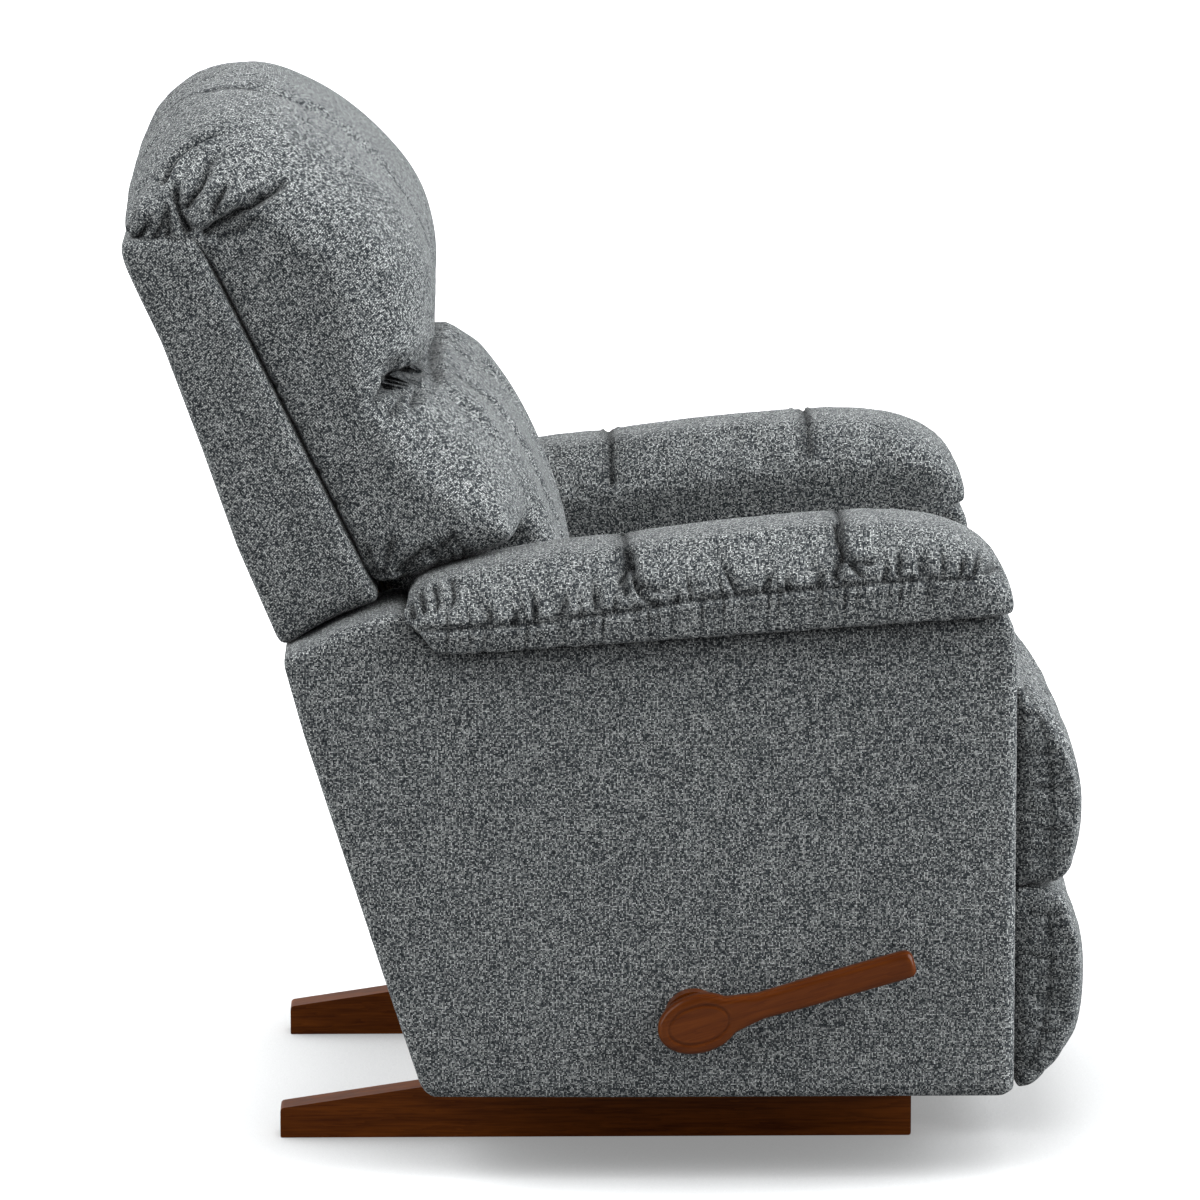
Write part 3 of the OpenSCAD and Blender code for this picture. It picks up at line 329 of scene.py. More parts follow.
def gather(obj, runs, seed):
    """Puckers cloth along its seams, and paints shade into the puckers. A run is (places, depth, reach,
    pitch, slant).
    """
    mesh = obj.data
    co, no = coords(mesh), normals(mesh)
    move, dark = np.zeros(len(co)), np.zeros(len(co))
    rng = random.Random(seed)
    for line, depth, reach, pitch, slant in runs:
        if len(line) < 2:
            continue
        far = 2.4 * reach * MM
        near = np.all((co > line.min(0) - far) & (co < line.max(0) + far), axis=1)
        length = np.linalg.norm(np.diff(line, axis=0), axis=1).sum()
        gap, share = line_distance(co[near], line)
        away = gap / MM / reach
        along = share * length / MM + slant * gap / MM
        turns = along / pitch + 0.45 * np.sin(along / pitch * 1.7 + rng.uniform(0, 6)) + rng.uniform(0, 1)
        fold = (0.5 + 0.5 * np.cos(2 * math.pi * turns)) ** 3
        vary = 0.35 + 0.65 * (0.5 + 0.5 * np.sin(turns * 2.6 + rng.uniform(0, 6)))
        ends = unit(np.minimum(share, 1 - share) / 0.04)
        strength = np.exp(-away ** 1.6) * ends
        move[near] -= depth * MM * (fold * vary - 0.15) * strength
        # painted shade in the puckers
        dark[near] = np.maximum(dark[near], 0.75 * min(1, depth / 5) * fold ** 1.5 * vary * strength)
    set_coords(mesh, co + no * move[:, None])
    paint_fold_shade(mesh, dark)


def surface(obj):
    return BVHTree.FromObject(obj, bpy.context.evaluated_depsgraph_get())


def cast(tree, rays):
    """The places where rays meet the form. A ray is (start, direction)."""
    hits = [tree.ray_cast(Vector(start), Vector(towards).normalized())[0] for start, towards in rays]
    return np.array([hit for hit in hits if hit is not None]).reshape(-1, 3)


RAY_START = 3.0
DOWN = (0, 0, -1)


def on_form(tree, places, towards):
    """Places in metres, moved along a direction until they meet the form."""
    towards = Vector(towards)
    return cast(tree, [(Vector(place) - towards * RAY_START, towards) for place in places])


def side_line(tree, places, side, steps=5):
    """A line drawn in side view, in millimetres, laid on the form from that side."""
    line = spline(places, steps, closed=False)
    start = np.column_stack([line[:, 0] * MM, np.zeros(len(line)), line[:, 1] * MM])
    return on_form(tree, start, (0, -side, 0))


# Sections of one stitch: place along its length and size, both as shares
STITCH_SECTIONS = ((-0.5, 0.35), (-0.38, 0.9), (0, 1.15), (0.38, 0.9), (0.5, 0.35))
STITCH_SIDES = 6
STITCH_PITCH, STITCH_LENGTH, STITCH_RADIUS = 6.5, 4.2, 0.42


def place_at(line, done, length):
    return np.array([np.interp(length, done, line[:, k]) for k in range(3)])


def stitch_rings(hit, normal, along):
    """The sections of one stitch that lies on a form."""
    across = normal.cross(along).normalized()
    rings = []
    for share, size in STITCH_SECTIONS:
        lift = STITCH_RADIUS * MM * (0.9 - 2.2 * abs(share))
        centre = hit + along * (share * STITCH_LENGTH * MM) + normal * lift
        ring = []
        for k in range(STITCH_SIDES):
            a = 2 * math.pi * k / STITCH_SIDES
            out = across * math.cos(a) + normal * math.sin(a)
            ring.append(centre + out * (STITCH_RADIUS * MM * size))
        rings.append(ring)
    return rings


def stitches(name, obj, lines, material, node):
    """Rows of thread that lie on a form along lines of places."""
    tree = surface(obj)
    points, faces = [], []
    n = STITCH_SIDES
    for line in lines:
        run = np.linalg.norm(np.diff(line, axis=0), axis=1)
        done = np.concatenate([[0], np.cumsum(run)])
        for start in np.arange(0, done[-1] - STITCH_LENGTH * MM, STITCH_PITCH * MM):
            first = place_at(line, done, start)
            last = place_at(line, done, start + STITCH_LENGTH * MM)
            hit, normal, _, _ = tree.find_nearest(Vector((first + last) / 2))
            base = len(points)
            for ring in stitch_rings(hit, normal, Vector(last - first).normalized()):
                points += ring
            rings = [range(base + j * n, base + (j + 1) * n) for j in range(len(STITCH_SECTIONS))]
            for low, high in zip(rings, rings[1:]):
                faces += [(low[k], low[(k + 1) % n], high[(k + 1) % n], high[k]) for k in range(n)]
            faces += [tuple(reversed(rings[0])), tuple(rings[-1])]
    thread = mesh_object(name, points, faces)
    shade_smooth(thread)
    thread.data.materials.append(material)
    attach(thread, BODY_OF[node])


def dress(obj, nodes, material):
    """Gives a piece its material and the body that it moves with, and hides the solids that it stands for.
    """
    shade_smooth(obj)
    obj.data.materials.clear()
    obj.data.materials.append(material)
    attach(obj, BODY_OF[nodes[0]])
    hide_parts(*nodes)


# Materials
class Nodes:
    """A short way to lay out a material's nodes."""

    def __init__(self, tree):
        self.tree = tree

    def add(self, kind, inputs=None, **settings):
        node = self.tree.nodes.new(kind)
        for key, value in settings.items():
            setattr(node, key, value)
        for key, value in (inputs or {}).items():
            socket = node.inputs[key]
            if isinstance(value, bpy.types.NodeSocket):
                self.tree.links.new(value, socket)
            else:
                socket.default_value = value
        return node

    def math(self, operation, a, b=0.0):
        return self.add("ShaderNodeMath", {0: a, 1: b}, operation=operation).outputs[0]

    def plus(self, a, b):
        return self.math("ADD", a, b)

    def minus(self, a, b):
        return self.math("SUBTRACT", a, b)

    def times(self, a, b):
        return self.math("MULTIPLY", a, b)

    def mix(self, factor, a, b):
        node = self.add("ShaderNodeMix", data_type="RGBA")
        for socket, value in (("Factor_Float", factor), ("A_Color", a), ("B_Color", b)):
            target = next(s for s in node.inputs if s.identifier == socket)
            if isinstance(value, bpy.types.NodeSocket):
                self.tree.links.new(value, target)
            else:
                target.default_value = value if isinstance(value, float) else (*value, 1)
        return next(s for s in node.outputs if s.identifier == "Result_Color")

    def noise(self, vector, scale, detail=2.0, roughness=0.5):
        return self.add("ShaderNodeTexNoise", {"Vector": vector, "Scale": scale, "Detail": detail,
                                               "Roughness": roughness}).outputs["Fac"]

    def stretch(self, value, low, high, out_low=0.0, out_high=1.0):
        return self.add("ShaderNodeMapRange", {0: value, 1: low, 2: high, 3: out_low, 4: out_high},
                        clamp=True).outputs[0]


def new_material(name):
    material = bpy.data.materials.new(name)
    material.use_nodes = True
    material.node_tree.nodes.clear()
    return material, Nodes(material.node_tree)


def finish_material(n, color, roughness, height, distance, strength=0.6, **plain):
    """The shader and its output; plain values go straight to the shader's own sockets."""
    shader = n.add("ShaderNodeBsdfPrincipled", {"Base Color": color, "Roughness": roughness})
    for key, value in plain.items():
        shader.inputs[key.replace("_", " ").title().replace("Ior", "IOR")].default_value = value
    bump = n.add("ShaderNodeBump", {"Height": height, "Distance": distance, "Strength": strength})
    n.tree.links.new(bump.outputs[0], shader.inputs["Normal"])
    n.add("ShaderNodeOutputMaterial", {"Surface": shader.outputs[0]})


def turned_place(n, lean):
    """Place and facing in the object's own space, turned by the lean about the side axis."""
    source = n.add("ShaderNodeTexCoord")
    turned = []
    for output in ("Object", "Normal"):
        turn = n.add("ShaderNodeVectorRotate", {"Vector": source.outputs[output], "Angle": lean},
                     rotation_type="Y_AXIS")
        turned.append(turn.outputs[0])
    return turned


def cloth_place(n, lean):
    """Two lengths along the cloth, in metres, from the plane that the surface faces most."""
    place, facing = turned_place(n, lean)
    p = n.add("ShaderNodeSeparateXYZ", {0: place}).outputs
    f = n.add("ShaderNodeSeparateXYZ", {0: facing}).outputs
    fx, fy, fz = (n.math("ABSOLUTE", f[k]) for k in range(3))
    to_side = n.math("GREATER_THAN", fy, n.math("MAXIMUM", fx, fz))
    to_front = n.math("GREATER_THAN", fx, fz)
    not_side, not_front = n.minus(1.0, to_side), n.minus(1.0, to_front)
    # from the side X and Z count, from the front Y and Z, from above X and Y
    u = n.plus(n.times(p[1], to_front), n.times(p[0], not_front))
    v = n.plus(n.times(p[2], to_front), n.times(p[1], not_front))
    u = n.plus(n.times(p[0], to_side), n.times(u, not_side))
    v = n.plus(n.times(p[2], to_side), n.times(v, not_side))
    return u, v, place


# The weave: pitch of its threads in metres, and the shades of its yarn
THREAD_PITCH = 0.0014
GROUND = (0.0120, 0.0145, 0.0170)
MIDDLE = (0.060, 0.066, 0.071)
FLECK = (0.56, 0.575, 0.565)
# The dark between the yarns, which is also the colour of the painted shade in folds
GAP_AND_FOLD_SHADE = (0.0035, 0.0042, 0.0050)
# How a yarn's shade wanders: steps per thread, and share in the shade
YARN_WAVES = ((0.45, 1.10), (0.05, 0.26))
# How far apart neighbouring yarns are read, their middle shade, and how much single crossings differ
YARN_APART = 7.31
YARN_MEAN = 0.41
CROSSING_SHARE = 0.45
GROUND_TO_MIDDLE = (0.05, 0.45)
MIDDLE_TO_FLECK = (0.42, 1.05)
# How far the painted shade in folds darkens the cloth towards that dark colour
PAINTED_FOLD_SHADE = 0.66


def yarn_shade(n, index, run, seed):
    """The shade of one yarn at a place along it."""
    total = None
    for reach, share in YARN_WAVES:
        spot = {0: n.times(index, YARN_APART), 1: n.times(run, reach), 2: seed}
        place = n.add("ShaderNodeCombineXYZ", spot).outputs[0]
        wave = n.times(n.minus(n.noise(place, 1.0, 1.0, 0.6), 0.5), share * 2)
        total = wave if total is None else n.plus(total, wave)
        seed += 11.0
    return total


def tweed(name, lean=0.0):
    """A plain-woven tweed of slate and ivory yarn with slubs along both ways of the cloth, and painted
    shade in its folds.
    """
    material, n = new_material(name)
    u, v, place = cloth_place(n, lean)
    wander = n.times(n.minus(n.noise(place, 9.0, 1.0), 0.5), 2.0)
    across = n.plus(n.math("DIVIDE", u, THREAD_PITCH), wander)
    along = n.plus(n.math("DIVIDE", v, THREAD_PITCH), wander)
    column, row = n.math("FLOOR", across), n.math("FLOOR", along)
    in_column, in_row = n.math("FRACT", across), n.math("FRACT", along)

    warp = yarn_shade(n, column, along, 0.0)
    weft = yarn_shade(n, row, across, 40.0)
    over = n.math("GREATER_THAN", n.math("PINGPONG", n.plus(column, row), 1.0), 0.5)
    under = n.minus(1.0, over)
    on_top = n.plus(n.times(warp, over), n.times(weft, under))
    shade = n.plus(n.times(on_top, 0.1), n.math("MAXIMUM", warp, weft))
    crossing = n.add("ShaderNodeCombineXYZ", {0: column, 1: row}).outputs[0]
    cell = n.add("ShaderNodeTexWhiteNoise", {0: crossing}, noise_dimensions="2D").outputs["Value"]
    cell = n.times(n.minus(cell, 0.5), CROSSING_SHARE)
    shade = n.plus(n.plus(shade, YARN_MEAN), cell)
    broad = n.times(n.minus(n.noise(place, 9.0, 2.0), 0.5), 0.02)
    shade = n.plus(shade, broad)

    color = n.mix(n.stretch(shade, *GROUND_TO_MIDDLE), GROUND, MIDDLE)
    color = n.mix(n.stretch(shade, *MIDDLE_TO_FLECK), color, FLECK)
    hump_across = n.math("SINE", n.times(in_column, math.pi))
    hump_along = n.math("SINE", n.times(in_row, math.pi))
    open_gap = n.stretch(n.times(hump_across, hump_along), 0.0, 0.80, 1.0, 0.0)
    color = n.mix(open_gap, color, GAP_AND_FOLD_SHADE)
    # Painted shade: the cloth darkens in folds and seams by the fold mark
    painted_shade = n.add("ShaderNodeAttribute", attribute_name=FOLD_SHADE_MARK).outputs["Fac"]
    color = n.mix(n.times(painted_shade, PAINTED_FOLD_SHADE), color, GAP_AND_FOLD_SHADE)
    height = n.times(n.plus(hump_across, hump_along), 0.5)
    height = n.plus(height, n.times(shade, 0.8))
    finish_material(n, color, 0.92, height, distance=0.0005, strength=0.4,
                    sheen_weight=0.05, sheen_roughness=0.35, specular_ior_level=0.08)
    return material


def wood(name, dark, light, roughness, coat=0.0, turn=0.0):
    """Stained wood with its grain along X, turned about the side axis."""
    material, n = new_material(name)
    place, _ = turned_place(n, turn)
    long_grain = n.add("ShaderNodeMapping", {"Vector": place, "Scale": (3.0, 40.0, 40.0)}).outputs[0]
    fine_grain = n.add("ShaderNodeMapping", {"Vector": place, "Scale": (14.0, 420.0, 420.0)}).outputs[0]
    broad = n.noise(long_grain, 1.6, 4.0, 0.6)
    fine = n.noise(fine_grain, 1.0, 3.0, 0.6)
    rings = n.math("FRACT", n.times(broad, 7.0))
    shade = n.plus(n.times(broad, 0.55), n.times(fine, 0.35))
    shade = n.plus(shade, n.times(rings, 0.12))
    color = n.mix(n.stretch(shade, 0.32, 0.68), dark, light)
    rough = n.stretch(fine, 0.2, 0.8, roughness - 0.06, roughness + 0.08)
    finish_material(n, color, rough, fine, distance=0.0002, strength=0.25,
                    coat_weight=coat, coat_roughness=0.08, specular_ior_level=0.05)
    return material


def metal(name, color, roughness):
    """Drawn or rolled steel with fine lines along its length."""
    material, n = new_material(name)
    place, _ = turned_place(n, 0.0)
    cloud = n.noise(place, 28.0, 4.0, 0.6)
    drawn = n.add("ShaderNodeMapping", {"Vector": place, "Scale": (1.0, 8.0, 14.0)}).outputs[0]
    fine = n.noise(drawn, 60.0, 3.0)
    dark = [c * 0.62 for c in color]
    tint = n.mix(n.stretch(cloud, 0.3, 0.7), dark, color)
    uneven = n.plus(n.times(cloud, 0.5), n.times(fine, 0.5))
    rough = n.stretch(uneven, 0.3, 0.7, roughness - 0.08, roughness + 0.12)
    finish_material(n, tint, rough, fine, distance=0.0001, strength=0.3, metallic=1.0)
    return material


def plain_stuff(name, dark, light, roughness, scale):
    """A matt or satin stuff with a fine mottle, such as nylon or thread."""
    material, n = new_material(name)
    place, _ = turned_place(n, 0.0)
    mottle = n.noise(place, scale, 4.0, 0.6)
    finish_material(n, n.mix(n.stretch(mottle, 0.3, 0.7), dark, light), roughness, mottle, distance=0.0002)
    return material


def webbing_material():
    """Woven jute webbing with ribs along its length."""
    material, n = new_material("jute_webbing")
    u, v, place = cloth_place(n, BACK_LEAN)
    ribs = n.math("ABSOLUTE", n.math("SINE", n.times(u, math.pi / 0.0026)))
    rungs = n.math("ABSOLUTE", n.math("SINE", n.times(v, math.pi / 0.0031)))
    height = n.times(ribs, rungs)
    fibre = n.times(n.noise(place, 300.0, 3.0), 0.5)
    shade = n.plus(n.times(height, 0.6), fibre)
    color = n.mix(n.stretch(shade, 0.2, 0.9), (0.064, 0.040, 0.018), (0.200, 0.148, 0.080))
    finish_material(n, color, 0.85, height, distance=0.0005)
    return material


TWEED = tweed("tweed_upright")
TWEED_BACK = tweed("tweed_back", BACK_LEAN)
TWEED_ARM = tweed("tweed_arm_pillow", -math.radians(4))
THREAD = plain_stuff("sewing_thread", (0.060, 0.064, 0.068), (0.108, 0.112, 0.116), 0.7, 900.0)
RAIL_WOOD = wood("rail_wood", (0.036, 0.0065, 0.0003), (0.120, 0.030, 0.0025), 0.50, coat=0.05)
CAM_WOOD = wood("cam_wood", (0.022, 0.008, 0.004), (0.048, 0.018, 0.008), 0.55)
HANDLE_WOOD = wood("handle_wood", (0.030, 0.0055, 0.0005), (0.080, 0.019, 0.002), 0.34, coat=0.12,
                   turn=math.radians(16))
TIMBER = wood("frame_timber", (0.144, 0.088, 0.044), (0.248, 0.172, 0.100), 0.62)
STEEL = metal("mechanism_steel", (0.14, 0.144, 0.152), 0.42)
SPRING_STEEL = metal("spring_steel", (0.066, 0.068, 0.074), 0.36)
NYLON = plain_stuff("bushing_nylon", (0.248, 0.244, 0.228), (0.296, 0.292, 0.280), 0.45, 120.0)
WEBBING = webbing_material()

NODE_MATERIALS = {
    "upholstery_tweed": TWEED, "rail_wood": RAIL_WOOD, "cam_wood": CAM_WOOD, "handle_wood": HANDLE_WOOD,
    "frame_timber": TIMBER, "webbing": WEBBING, "bushing_nylon": NYLON, "spring_steel": SPRING_STEEL,
    "mechanism_steel": STEEL,
}


def finish_nodes():
    """Gives every node of the frame the material of its slot."""
    for entry in frame["record"]["subparts"]:
        obj = frame["nodes"][entry["node"]]
        obj.data.materials.clear()
        obj.data.materials.append(NODE_MATERIALS[entry["material_slot"]])


# Arms
ARM_INNER, ARM_OUTER = 275, 455
PILLOW_IN, PILLOW_OUT = 268, 482
BACK_PIVOT = (-160, 315)


def arm_top(x):
    return 541 + (x + 150) * 0.0681


def arm_outline():
    """Side view of an arm, counter-clockwise from the front foot."""
    corners = [(408, 90), (408, 200), (408, 380), (408, 540), (404, 566), (392, arm_top(392)),
               (200, arm_top(200)), (0, arm_top(0)), (-172, arm_top(-172))]
    corners += arc(BACK_PIVOT, 270, 100, 121, 6)
    corners += [(-326, 536), (-327, 528), (-306, 452), (-269, 336), (-230, 214), (-191, 94), (-182, 84)]
    corners += [(0, 83), (200, 83), (400, 83)]
    return np.array(corners, float)


def arm_side(name, side):
    steps = [(ARM_INNER, 4), (ARM_INNER + 4, 0), (360, 0), (ARM_OUTER - 9, 0), (ARM_OUTER - 4, 1.5),
             (ARM_OUTER - 1.2, 4.5), (ARM_OUTER, 9)]
    outline = subdivided(arm_outline(), 12)
    panel = loft(f"arm_side_{name}", [side_ring(side * y, inset(outline, gap)) for y, gap in steps])
    remesh(panel, 6, smooth=4)
    refine(panel)
    co, no = coords(panel.data), normals(panel.data)
    out = unit(no[:, 1] * side) ** 2
    x, z = co[:, 0] / MM, co[:, 2] / MM
    edges = np.minimum.reduce([408 - x, z - 83, x - rear_edge(z), arm_top(x) - z])
    from_edge = unit(edges / 90)
    crown = 2.2 * np.sin(from_edge * math.pi / 2)
    pull = 0.9 * np.sin(x / 61 + 1.3 * side) * np.sin(z / 83 + 0.6) * from_edge
    set_coords(panel.data, co + no * (out * (crown + pull) * MM)[:, None])
    dress(panel, [f"arm_body_{name}"], TWEED)


def rear_edge(z):
    return -187 - (z - 83) * 0.3236


# The pillow's crown from rear to front, seen from the side, and how far the form starts below it
PILLOW_TOP = [(-206, 583), (-202, 595), (-190, 605), (-170, 613), (-109, 630), (-49, 640), (15, 646),
              (92, 657), (162, 664), (231, 669), (273, 671), (323, 666), (350, 659), (372, 647), (391, 632),
              (401, 613), (405, 596)]
PILLOW_SLACK = 8
PILLOW_PLACES = [-205, -202, -196, -186, -172, -150, -120, -80, -40, 0, 15, 30, 60, 110, 160, 200, 231, 250,
                 290, 330, 355, 375, 388, 396, 401, 403.5]
# Seam between the pillow's band and its top panel, seen from the outer side
BAND_SEAM = [(-204, 566), (-192, 567), (-91, 573), (-29, 581), (22, 587), (59, 594), (135, 603), (214, 609),
             (264, 614), (314, 617), (365, 618), (405, 618)]
PILLOW_SEAMS = (15, 231)
DRAPE = 28


def pillow_bottom(x):
    return arm_top(x) if x > -172 else arm_top(-172) + (-172 - x) * 1.19


def band_seam(x):
    seam = np.array(BAND_SEAM, float)
    return np.interp(x, seam[:, 0], seam[:, 1])


def pillow_ring(x, top, width, side):
    """The pillow's section at one place: a drape inside, a firm band outside and a crowned top."""
    low = pillow_bottom(x) + 0.5
    high = max(top, low + 4)
    band = min(float(band_seam(x)) - low, (high - low) * 0.62)
    middle = (PILLOW_IN + PILLOW_OUT) / 2
    half = (PILLOW_OUT - PILLOW_IN) / 2 * width
    drop = DRAPE * min(1, max(0, (392 - x) / 30), max(0, (x + 190) / 30))
    inner = [(-half + 12, low), (-half + 12, low - drop), (-half + 2, low - drop), (-half, low - drop + 4),
             (-half, low + band * 0.5)]
    outer = [(half, low + band * 0.5), (half - 1, low + 3), (half - 5, low)]
    foot = low + band * 0.8
    crown = []
    for a in np.radians(np.linspace(180, 0, 17)):
        reach, lift = math.cos(a), math.sin(a)
        crown.append((half * math.copysign(abs(reach) ** 0.80, reach), foot + (high - foot) * lift ** 0.74))
    return np.array([(x, side * (middle + y), z) for y, z in inner + crown + outer]) * MM


def pillow_form(name, side):
    tops = np.array(PILLOW_TOP, float)
    rings = []
    for x in PILLOW_PLACES:
        ahead = max(0, (x - 345) / 60)
        behind = max(0, (-150 - x) / 58)
        width = 1 - 0.16 * ahead ** 3 - 0.16 * behind ** 2.4
        top = np.interp(x, tops[:, 0], tops[:, 1]) - PILLOW_SLACK
        rings.append(pillow_ring(x, top, width, side))
    return loft(name, rings)


def pillow_held(co, no):
    """The underside, the band below its seam and the drape are sewn down."""
    x, y, z = co.T
    return unit((band_seam(x) + 4 - z) / 10)


# Folds on the outer side of the pillow: places, depth, width, and how much of the end fades out
PILLOW_FOLDS = [
    ([(15, 652), (17, 643), (24, 623), (28, 607), (42, 594), (51, 589)], 8, 3.2, 0.1),
    ([(20, 632), (11, 617), (6, 604)], 5, 4.0, 0.4),
    ([(28, 612), (44, 606), (60, 604)], 4, 4.0, 0.5),
    ([(226, 668), (227, 655), (231, 644), (243, 629), (256, 616)], 8, 3.2, 0.1),
    ([(229, 642), (224, 625), (227, 613)], 8, 4.0, 0.2),
    ([(240, 634), (256, 632), (272, 634)], 4, 4.0, 0.6),
    ([(372, 650), (384, 640), (390, 626), (391, 608)], 4, 3.6, 0.5),
    ([(366, 648), (378, 640), (388, 634)], 5, 3.6, 0.3),
    ([(368, 622), (380, 626), (391, 626)], 5, 3.6, 0.3),
    ([(-202, 593), (-197, 583), (-198, 574)], 6, 3.4, 0.2),
    ([(-190, 600), (-186, 588), (-188, 576)], 5, 3.4, 0.3),
    ([(-176, 606), (-172, 594), (-176, 580)], 5, 3.4, 0.3),
    ([(-158, 612), (-156, 598), (-162, 582)], 4, 3.4, 0.3),
]
# Gathers that run from the band's seam upward: two ends each
PILLOW_GATHERS = [
    (-75, 578, -81, 611), (-50, 580, -45, 611), (-14, 585, -20, 619), (80, 598, 72, 628),
    (128, 602, 101, 644), (286, 620, 285, 652), (310, 620, 304, 648), (331, 620, 327, 652),
    (346, 621, 352, 644), (360, 621, 369, 652), (-120, 574, -126, 596), (-98, 574, -92, 592),
    (3, 586, 2, 606), (62, 596, 70, 612), (152, 606, 160, 630), (176, 607, 172, 622),
    (206, 610, 212, 630), (270, 616, 276, 636),
]


def pillow_folds(tree, side):
    """Seams of the pillow, the folds that run from them, and the gathers above the band."""
    lines = [(side_line(tree, [p for p in BAND_SEAM if -200 < p[0] < 396], side), 6, 2.6, 0.01, 0.01)]
    for seam in PILLOW_SEAMS:
        depths = np.linspace(PILLOW_IN + 6, PILLOW_OUT - 8, 40)
        over = cast(tree, [((seam * MM, side * y * MM, 1.0), DOWN) for y in depths])
        lines.append((over, 1.6, 9.0, 0.06, 0.04))
        lines.append((over, 3.2, 1.9, 0.04, 0.02))
    folds = list(PILLOW_FOLDS)
    for x0, z0, x1, z1 in PILLOW_GATHERS:
        folds.append(([(x0, z0), ((x0 + x1) / 2 + 2, (z0 + z1) / 2), (x1, z1)], 5.5, 3.6, 0.75))
    for places, depth, width, fade in folds:
        lines.append((side_line(tree, places, side), depth * 1.7, width * 0.85, 0.05, fade))
    return lines


def arm_pillow(name, side):
    pillow = pillow_form(f"arm_cushion_{name}", side)
    remesh(pillow, 5, smooth=4)
    swell(pillow, pillow_held, cap=7, grow=0.02)
    refine(pillow)
    tree = surface(pillow)
    seam = side_line(tree, [p for p in BAND_SEAM if -196 < p[0] < 392], side)
    gather(pillow, [(seam, 6.0, 28, 17, 0.15)], 3)
    press(pillow, pillow_folds(tree, side))
    dress(pillow, [f"arm_pillow_{name}"], TWEED_ARM)


# Back
# Side view of the back cushion over the arms, counter-clockwise from the wing's lower rear corner
HEAD_AND_WING = [
    (-236, 588), (-200, 603), (-168, 618), (-112, 633), (-88, 643), (-83, 656), (-89, 677), (-102, 704),
    (-130, 739), (-160, 768), (-184, 796), (-181, 820), (-178, 862), (-186, 915), (-214, 972),
    (-262, 1024), (-318, 1064), (-376, 1080), (-418, 1074), (-450, 1051), (-479, 1018), (-488, 982),
    (-487, 950), (-474, 938), (-446, 937), (-420, 941), (-398, 908), (-370, 853), (-326, 764),
    (-286, 684), (-254, 620),
]
# Side view of the cushion between the arms
NECK = [
    (-181, 486), (-140, 481), (-96, 481), (-58, 486), (-40, 502), (-38, 545), (-50, 597), (-67, 645),
    (-88, 692), (-115, 735), (-146, 772), (-200, 780), (-300, 740), (-262, 640), (-220, 560),
]
# Half width of the back, where it starts to round, and how deep it rounds on its flank and its front
BACK_HALF = 386
BACK_TURN = 222
FLANK_ROUND, FRONT_ROUND = 12, 100
BACK_PLACES = [384, 382, 378, 371, 361, 348, 332, 314, 294, 272, 252, 200, 130, 65, 0]
HEAD_MIDDLE = (-330, 900)
# The head's top falls towards its sides: from where, its height, and how far it falls at the sides
HEAD_WAIST, HEAD_TOP, HEAD_FALL = 930, 1090, 58


def back_ring(y, outline):
    """The back's outline at one side depth: rounded in towards the sides, and falling at the head."""
    turn = max(0, (abs(y) - BACK_TURN) / (BACK_HALF - BACK_TURN))
    share = 1 - math.sqrt(1 - min(turn, 0.985) ** 2)
    x, z = outline.T
    front = unit((x - seam_at(z) - 50) / 130) * unit((z - 640) / 90)
    crown = unit((z - 1008) / 52)
    deep = FLANK_ROUND + (FRONT_ROUND - FLANK_ROUND) * np.maximum(front, 0.8 * crown)
    for _ in range(8):
        deep = (np.roll(deep, 1) + 2 * deep + np.roll(deep, -1)) / 4
    ring = outline + (inset(outline, 1.0) - outline) * (share * deep)[:, None]
    for _ in range(int(14 * share)):
        ring = (np.roll(ring, 1, 0) + 2 * ring + np.roll(ring, -1, 0)) / 4
    high = np.maximum(0, (ring[:, 1] - HEAD_WAIST) / (HEAD_TOP - HEAD_WAIST))
    ring[:, 1] -= HEAD_FALL * (y / BACK_HALF) ** 2 * high
    return side_ring(y, ring)


def back_cushion():
    wing = spline(HEAD_AND_WING, 5)
    places = BACK_PLACES + [-y for y in reversed(BACK_PLACES[:-1])]
    upper = loft("upper", [back_ring(y, wing) for y in places])
    neck = spline(NECK, 5)
    steps = mirrored([(262, 0.90), (259, 0.95), (250, 0.985), (230, 1.0), (0, 1.0)])
    lower = loft("lower", [side_ring(y, drawn_in(neck, (-150, 640), k)) for y, k in steps])
    return joined("back_cushion", [upper, lower])


def crease_height(x):
    return 800 + np.minimum(0, (x + 169) * 0.21)


def back_held(co, no):
    """The rear face, the side seams, the cross crease and the upright seams are sewn down."""
    x, y, z = co.T
    rear = unit((seam_at(z) + 26 - x) / 14) * (z < 945)
    pleat = unit((962 - z) / 12) * (x < seam_at(z) + 6)
    crease = np.exp(-((z - crease_height(x)) / 9) ** 2) * (x > -240)
    firm = np.clip((860 - z) / 60, 0.3, 1) * (no[:, 0] > -0.4)
    upright = firm * np.exp(-((np.abs(y) - CHANNEL_Y) / 8) ** 2)
    under = unit((600 - z) / 20) * (np.abs(y) > 250) + unit((500 - z) / 16)
    flank = 0.35 * unit(np.abs(no[:, 1]) * 2 - 1)
    return np.maximum.reduce([rear, pleat, crease, upright, under, flank])


